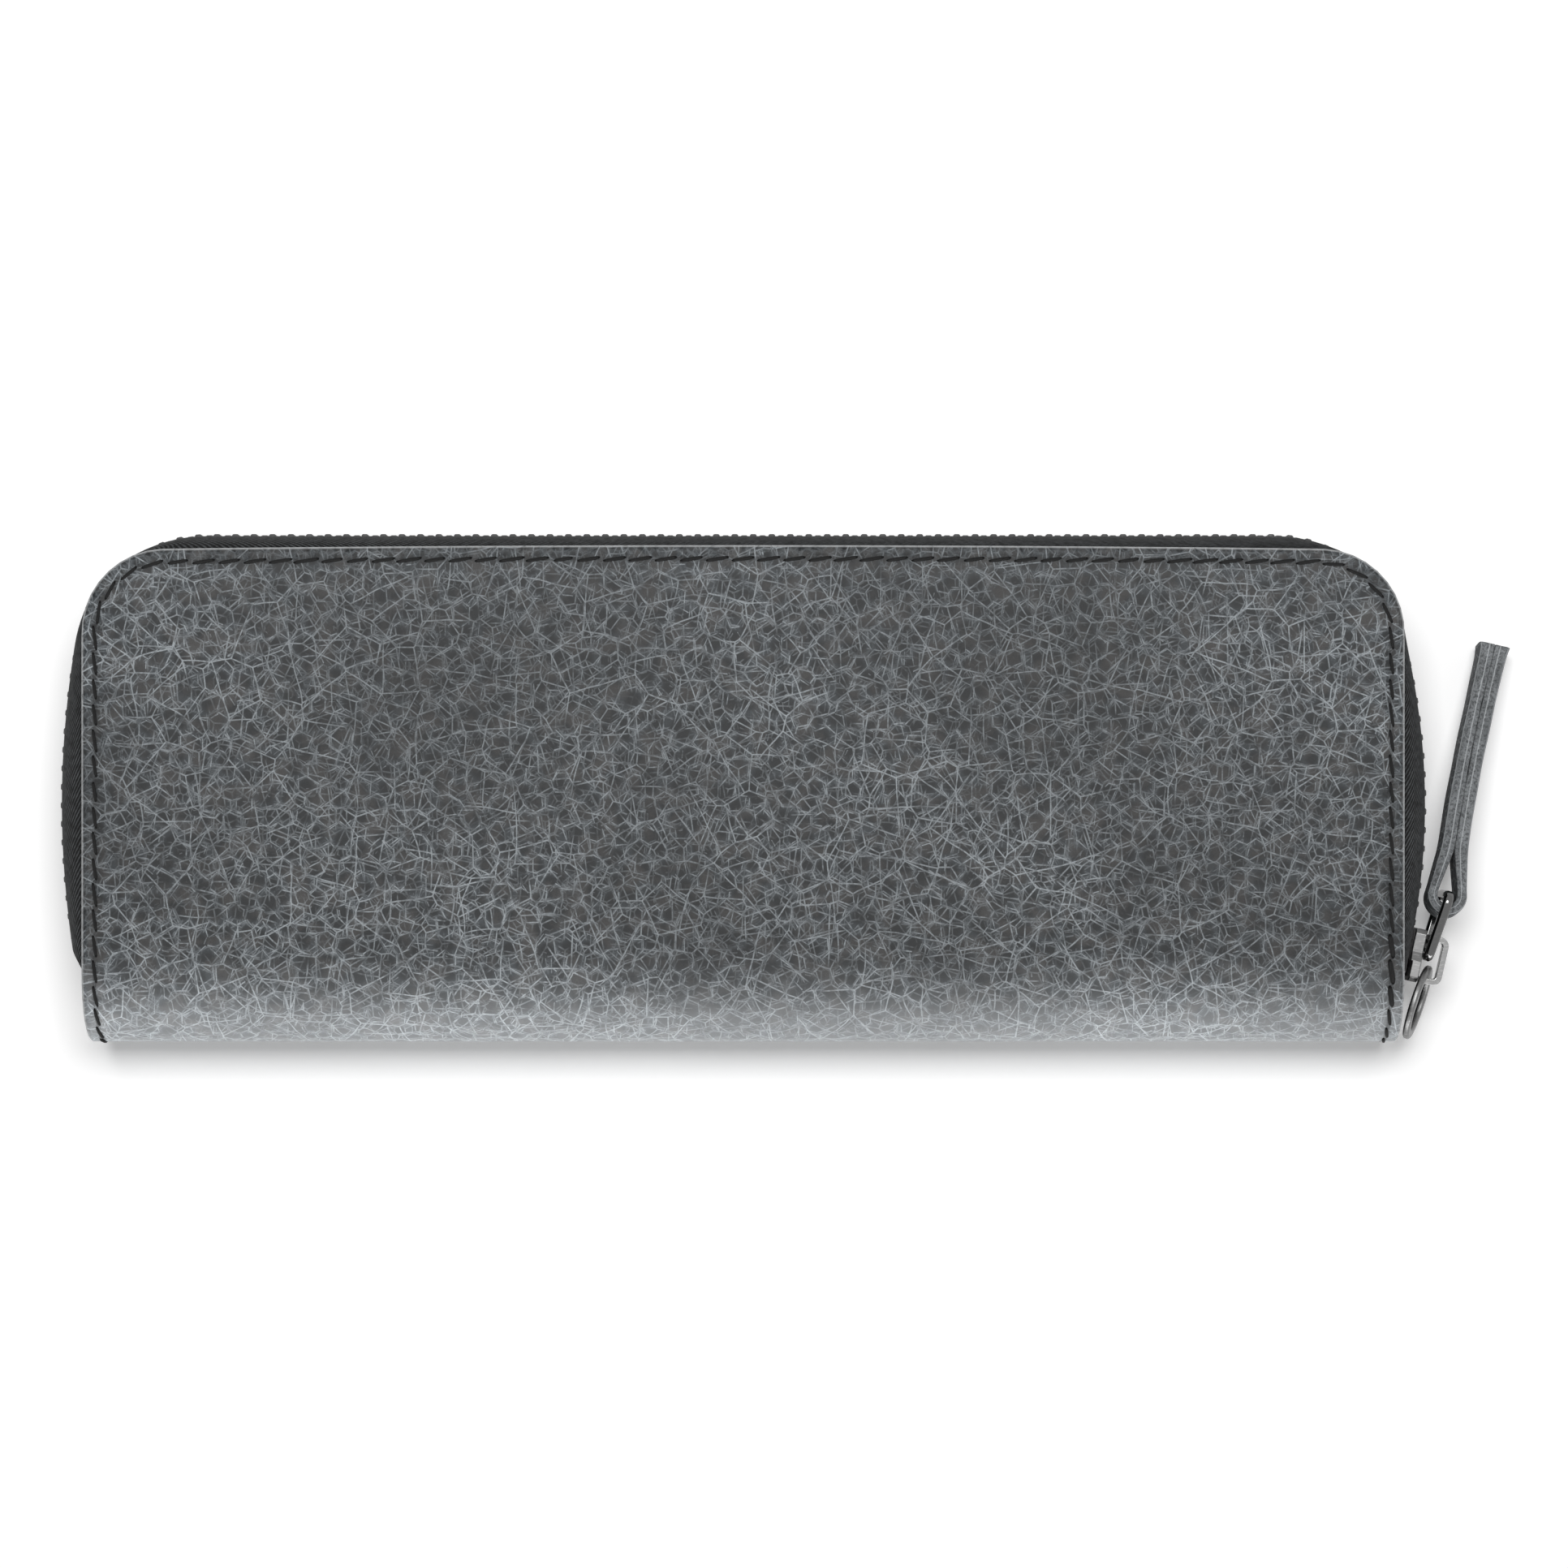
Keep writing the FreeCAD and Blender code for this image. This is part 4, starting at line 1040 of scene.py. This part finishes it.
def strap_path():
    """The strip's middle line, in the plane of the fold: up one leg, round the loop and down the other leg.

    A leg leaves the loop's circle on its tangent, and closes to half a layer from the middle.
    """
    radius = eye_radius + loop_wall / 2
    reach = loop_length - eye_offset
    touch = math.atan2(strap_layer / 2, reach) + math.acos(radius / math.hypot(reach, strap_layer / 2))
    turn = np.linspace(math.pi, touch, 28)
    loop = stacked(eye_offset + radius * np.cos(turn), radius * np.sin(turn))
    along = np.linspace(loop_length, strap_length, 60)
    leg = stacked(along, strap_layer / 2)
    slope = np.linspace(loop[-1], leg[0], 16)[1:-1]
    half = np.concatenate([loop, slope, leg])
    kernel = np.hanning(9) / np.hanning(9).sum()
    padded = np.pad(half, ((4, 4), (0, 0)), mode="edge")
    smooth = stacked(*[np.convolve(column, kernel, "valid") for column in padded.T])
    smooth[:12], smooth[-1] = half[:12], half[-1]
    return np.concatenate([smooth[:0:-1], smooth * (1, -1)])


print("strip:", round(travel_along(strap_path())[-1] / MM), "mm long")

# %% Strap surface
SQUARE, SOFT = 0.14, 0.35
strap_sway, strap_flare = 0.5 * MM, 0.35 * MM
thin_until, thick_after = 5 * MM, 11 * MM
STRAP_SPOKES = 24


def strap_piece(name, material):
    """A soft-cornered rectangle, a superellipse, carried along the folded path, then drooped and swung.

    The strip grows from the loop's wall to a full layer, waves a little in thickness and flares at its tips.
    """
    path = strap_path()
    travel = travel_along(path)
    ahead = np.gradient(path, travel, axis=0)
    ahead /= np.linalg.norm(ahead, axis=1, keepdims=True)
    beside = left_of(ahead)
    from_loop = np.abs(travel - travel[-1] / 2)
    wave = 1 + 0.05 * np.sin(travel / (2.3 * MM)) * np.sin(travel / (5.1 * MM))
    thick = np.interp(from_loop, [thin_until, thick_after], [loop_wall, strap_layer]) * wave
    to_tip = np.minimum(travel, travel[-1] - travel)
    flare = strap_flare * np.exp(-to_tip / (1.5 * MM))
    turn = np.linspace(0, 2 * math.pi, STRAP_SPOKES, endpoint=False) + math.pi / STRAP_SPOKES
    layer, width = superellipse(turn, np.where(np.cos(turn) > 0, SQUARE, SOFT))
    inside = np.sign(path[:, 1])[:, None] * np.sign(beside[:, 1])[:, None] * layer < 0
    outwards = thick[:, None] / 2 + np.where(inside, 0, flare[:, None])
    plane = path[:, None] + beside[:, None] * (layer * outwards)[..., None]
    upright = width * strap_width / 2 * (1 + 0.02 * np.sin(travel / (3.7 * MM)))[:, None]
    sway = strap_sway * np.sin(np.clip(plane[..., 0] / strap_length, 0, 1) * math.pi)
    local = stacked(plane[..., 0], plane[..., 1] + sway, upright)
    placing = rotation(strap_angle, 0, 1) @ rotation(strap_droop, 2, 0)
    points = local.reshape(-1, 3) @ placing.T + strap_pivot
    ends = points.reshape(local.shape)[[0, -1]].mean(1)
    faces = tube_faces(len(path), STRAP_SPOKES)
    piece = put_mesh(name, np.concatenate([points, ends]), faces, material)
    run = travel / UV_UNIT
    spread = stacked(layer, run[:, None]).reshape(-1, 2)
    keep_uv(piece, "strip", np.concatenate([spread, [[0, 0], [0, run[-1]]]]))
    keep_values(piece, "rim", "FLOAT", "POINT", np.append(np.tile(np.abs(width), len(path)), [1, 1]))
    return piece


# %% Strap finish
SKIN_LINES = ((-0.88, 0.17, 1.0), (0.24, 0.12, 0.75))


def strap_material():
    """Fibrous cut edge with pale skin lines; the flat faces are the same crackled leather, plainer."""
    material, tree, shader = new_material("strap_cut_leather")
    strip = add(tree, "UVMap", uv_map="strip").outputs[0]
    rim = kept(tree, "rim")
    layer = add(tree, "SeparateXYZ", {0: strip}).outputs[0]
    place = add(tree, "TexCoord").outputs["Object"]
    fibres = fibre_noise(tree, place, 2400.0, 0.75)
    ragged = combine(tree, "ADD", layer, about_zero(tree, fibres, 0.3))
    skin = 0.0
    for line, half_width, weight in SKIN_LINES:
        off = combine(tree, "ABSOLUTE", combine(tree, "SUBTRACT", ragged, line))
        skin = combine(tree, "MAXIMUM", ramp(tree, off, half_width * 0.3, half_width, weight, 0.0), skin)
    skin = combine(tree, "MULTIPLY", skin, rim)
    body = mix(tree, clouds(tree, place, 300.0, 0.0, 1.0), grey(104, 0.03), grey(134, 0.025))
    body = mix(tree, ramp(tree, fibres, 0.4, 0.56, 0.8, 0.0), body, grey(56, 0.03))
    cut = mix(tree, combine(tree, "MULTIPLY", skin, 0.8), body, grey(188, 0.02))
    cells = add(tree, "TexVoronoi", {"Vector": place, "Scale": 640.0}, feature="DISTANCE_TO_EDGE")
    lines = ramp(tree, cells.outputs["Distance"], 0.0, 0.1, 0.6, 0.0)
    grain = mix(tree, lines, grey(60, 0.05), grey(138, 0.03))
    colour = mix(tree, ramp(tree, rim, 0.86, 0.97), grain, cut)
    soft_shader(tree, shader, colour, 0.85, bump(tree, fibres, 0.7, 0.25 * MM))
    return material


strap = strap_piece("folded_strap", strap_material())
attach(strap, "strap")
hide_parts("pull_strap")
print("strap:", len(strap.data.polygons), "faces")

# %% [markdown]
# Inside, a thin cloth lining follows the covers and the fold, and an elastic band stands on it in three
# arches for the pens. Both are sheets with a wall: the lining is the leather's wrap on a smaller radius,
# the band a row of half circles on short legs carried along the case. Cloth could be draped, but these
# are glued and sewn flat, so they need no simulation.

# %% Lining
lining = 0.7 * MM
lining_depth = leather + lining
lining_inset, lining_puff = 1.0 * MM, 0.12 * MM


def lining_piece(name, side, material):
    """The inner face of the lining on a grid of even rows, rounded at its corners by drawing the rows in."""
    radius = fold_radius - lining_depth - lining
    quarter = math.pi / 2 * radius
    reach = quarter + free_edge - fold_line - lining_inset
    around = np.concatenate([np.linspace(0, quarter, 18)[:-1], np.linspace(quarter, reach, 70)])
    round_off = corner_radius - lining_inset
    beyond = np.clip(around - (reach - round_off), 0, round_off)
    half = half_length - lining_inset - round_off + np.sqrt(round_off ** 2 - beyond ** 2)
    along = np.linspace(-1, 1, 140)[None] * half[:, None]
    angle = np.minimum(around / radius, math.pi / 2)[:, None]
    past = np.maximum(around - quarter, 0)[:, None]
    puff = lining_puff * np.sin(along / (17 * MM)) * np.sin(past / (13 * MM))
    across = fold_line - radius * np.cos(angle) + past
    up = mid_height + side * (radius * np.sin(angle) + np.minimum(puff, 0))
    faces = grid_quads(*along.shape)
    faces = faces if side < 0 else faces[:, ::-1]
    piece = put_mesh(name, stacked(along, across, up), faces, material)
    keep_uv(piece, "weave", stacked(along, around[:, None]) / MM)
    thicken(piece, lining)
    return piece


lining_finish = cloth_material("lining_cloth", 0.7, math.radians(45), 30, 58, 0.8)
linings = {name: lining_piece(name + "_cloth", side, lining_finish) for name, side in SIDES.items()}
for name, cloth in linings.items():
    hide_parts(name + "_lining")
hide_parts("spine_lining")
print("linings:", [len(cloth.data.polygons) for cloth in linings.values()])

# %% Pen loops
band_low, band_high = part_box("pen_loops")
loop_bore, loop_leg, loop_wall_band = 14.0 * MM, 6.6 * MM, 1.0 * MM
loop_spacing, loop_foot = 19.0 * MM, 2.4 * MM
loop_count = 3
hem_drop = 0.12 * MM
leg_steps, worn_thin = 6, 0.86


def loop_piece(name, material):
    """The band's outer face: for each pen a leg up, a half circle and a leg down, with flat feet between."""
    radius = loop_bore / 2 + loop_wall_band
    floor = band_low.z + loop_wall_band
    spring = band_low.z + loop_leg
    turn = np.linspace(math.pi, 0, 25)
    rise = np.linspace(floor, spring, leg_steps + 1)[:-1]
    bow = stacked(radius * np.cos(turn), spring + radius * np.sin(turn))
    arch = np.concatenate([stacked(-radius, rise), bow, stacked(radius, rise[::-1])])
    first = (band_low.y + band_high.y) / 2 - loop_spacing * (loop_count - 1) / 2
    arches = [arch + (first + loop_spacing * number, 0) for number in range(loop_count)]
    start = arches[0][0] - (loop_foot, 0)
    stop = arches[-1][-1] + (loop_foot, 0)
    path = np.concatenate([[start], *arches, [stop]])
    along = np.linspace(band_low.x, band_high.x, 40)
    hem = hem_drop * np.abs(np.sin(np.linspace(0, math.pi, len(along)))) ** 0.25
    height = path[:, 1] - (hem_drop - hem)[:, None]
    points = stacked(along[:, None], path[:, 0], height)
    piece = put_mesh(name, points, grid_quads(len(along), len(path))[:, ::-1], material)
    keep_uv(piece, "weave", stacked(along[:, None], travel_along(path)) / MM)
    thicken(piece, loop_wall_band * worn_thin)
    return piece


elastic_finish = cloth_material("ribbed_elastic", 0.45, 0.0, 18, 44)
loops = loop_piece("elastic_loops", elastic_finish)
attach(loops, "back")
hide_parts("pen_loops")
print("loops:", len(loops.data.polygons), "faces")

# %% [markdown]
# The boards between leather and lining never show, but they keep the covers flat, so they stay as they
# are with a plain pressed-fibre finish.

# %% Boards
board_finish = flesh_material("pressed_board", 120)
for name in SIDES:
    set_finish(frame["nodes"][name + "_board"], board_finish)
print("boards:", board_finish.name)

# %% [markdown]
# The fold is one bend of leather in the hand, and two hinge lines in the frame. Leather, stitches and
# lining are not blended across it here: each only has its placement baked into its mesh. Riding on one
# body alone, they would tear at the hinge lines.

# %% Placement baked into leather, stitches and lining
for name, side in SIDES.items():
    for piece, depth in ((covers[name], 0.0), (seams[name], 0.0), (linings[name], lining_depth)):
        if side < 0:
            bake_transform(piece)
        else:
            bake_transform(piece)
        print("blended", piece.name)

# %% [markdown]
# The picture is taken straight from above with a long lens, on white. A broad soft lamp from the top of
# the picture throws the short shadow below the fold, and a low one from below lights the fold itself. A
# sun lamp would be simpler, but its shadow would have a hard edge.

# %% Stage
floor_glow, sky_light = 0.14, 0.3


def seen_directly(tree):
    """One for rays of the camera, of reflections and of glass; nothing for the light that lamps spread."""
    rays = add(tree, "LightPath").outputs
    mirrored = combine(tree, "MAXIMUM", rays["Is Glossy Ray"], rays["Is Transmission Ray"])
    return combine(tree, "MAXIMUM", rays["Is Camera Ray"], mirrored)


def stage_floor():
    """A broad white square, lit by the lamps and a little brighter to the eye."""
    corners = np.array([[-3, -3, 0], [3, -3, 0], [3, 3, 0], [-3, 3, 0]], float)
    floor = put_mesh("floor", corners, np.array([[0, 1, 2, 3]]))
    material, tree, shader = new_material("white_floor")
    tree.nodes.remove(shader)
    matt = add(tree, "BsdfDiffuse", {"Color": (0.98, 0.98, 0.98, 1)})
    glow = add(tree, "Emission", {"Color": (1, 1, 1, 1)})
    tree.links.new(combine(tree, "MULTIPLY", seen_directly(tree), floor_glow), glow.inputs["Strength"])
    both = add(tree, "AddShader", {0: matt.outputs[0], 1: glow.outputs[0]})
    tree.links.new(both.outputs[0], tree.nodes["Material Output"].inputs["Surface"])
    floor.data.materials.append(material)
    return floor


def studio_world():
    """White where it is seen, and a weaker even light on everything else."""
    world = bpy.data.worlds.new("studio")
    world.use_nodes = True
    tree = world.node_tree
    background = tree.nodes["Background"]
    background.inputs["Color"].default_value = (1, 1, 1, 1)
    shown = combine(tree, "MULTIPLY", seen_directly(tree), 1 - sky_light)
    tree.links.new(combine(tree, "ADD", shown, sky_light), background.inputs["Strength"])
    scene.world = world


floor = stage_floor()
studio_world()
print("floor:", floor.name)


# %% Lamps
def soft_lamp(name, place, target, size, level):
    """A panel whose power gives this level at the target: light per area falls with distance squared."""
    away = Vector(target) - Vector(place)
    lamp = bpy.data.lights.new(name, "AREA")
    lamp.shape = "RECTANGLE"
    lamp.size, lamp.size_y = size
    lamp.energy = level * math.pi ** 2 * away.length_squared
    holder = bpy.data.objects.new(name, lamp)
    holder.location = place
    holder.rotation_euler = away.to_track_quat("-Z", "Y").to_euler()
    scene.collection.objects.link(holder)
    return holder


def light_only(holder, pieces):
    """Keeps a lamp off the floor, as a flag does in a studio."""
    group = bpy.data.collections.new(holder.name + "_pieces")
    for piece in pieces:
        group.objects.link(piece)
    holder.light_linking.receiver_collection = group


soft_lamp("top_lamp", (0, 0.33, 1.1), (0, 0, 0), (0.7, 0.42), 0.78)
fold_lamp = soft_lamp("fold_lamp", (0, -0.9, 0.22), (0, -0.03, 0.01), (1.2, 0.3), 0.95)
light_only(fold_lamp, [piece for piece in scene.objects if piece.type == "MESH" and piece != floor])

# %% Camera
camera_place = (6.19 * MM, 2.1 * MM, 680 * MM)
scene.view_settings.view_transform = "Standard"
camera = bpy.data.objects.new("camera", bpy.data.cameras.new("camera"))
camera.data.lens = 100
camera.data.sensor_width = 36
camera.location = camera_place
scene.collection.objects.link(camera)
scene.camera = camera
print("camera at", camera_place)
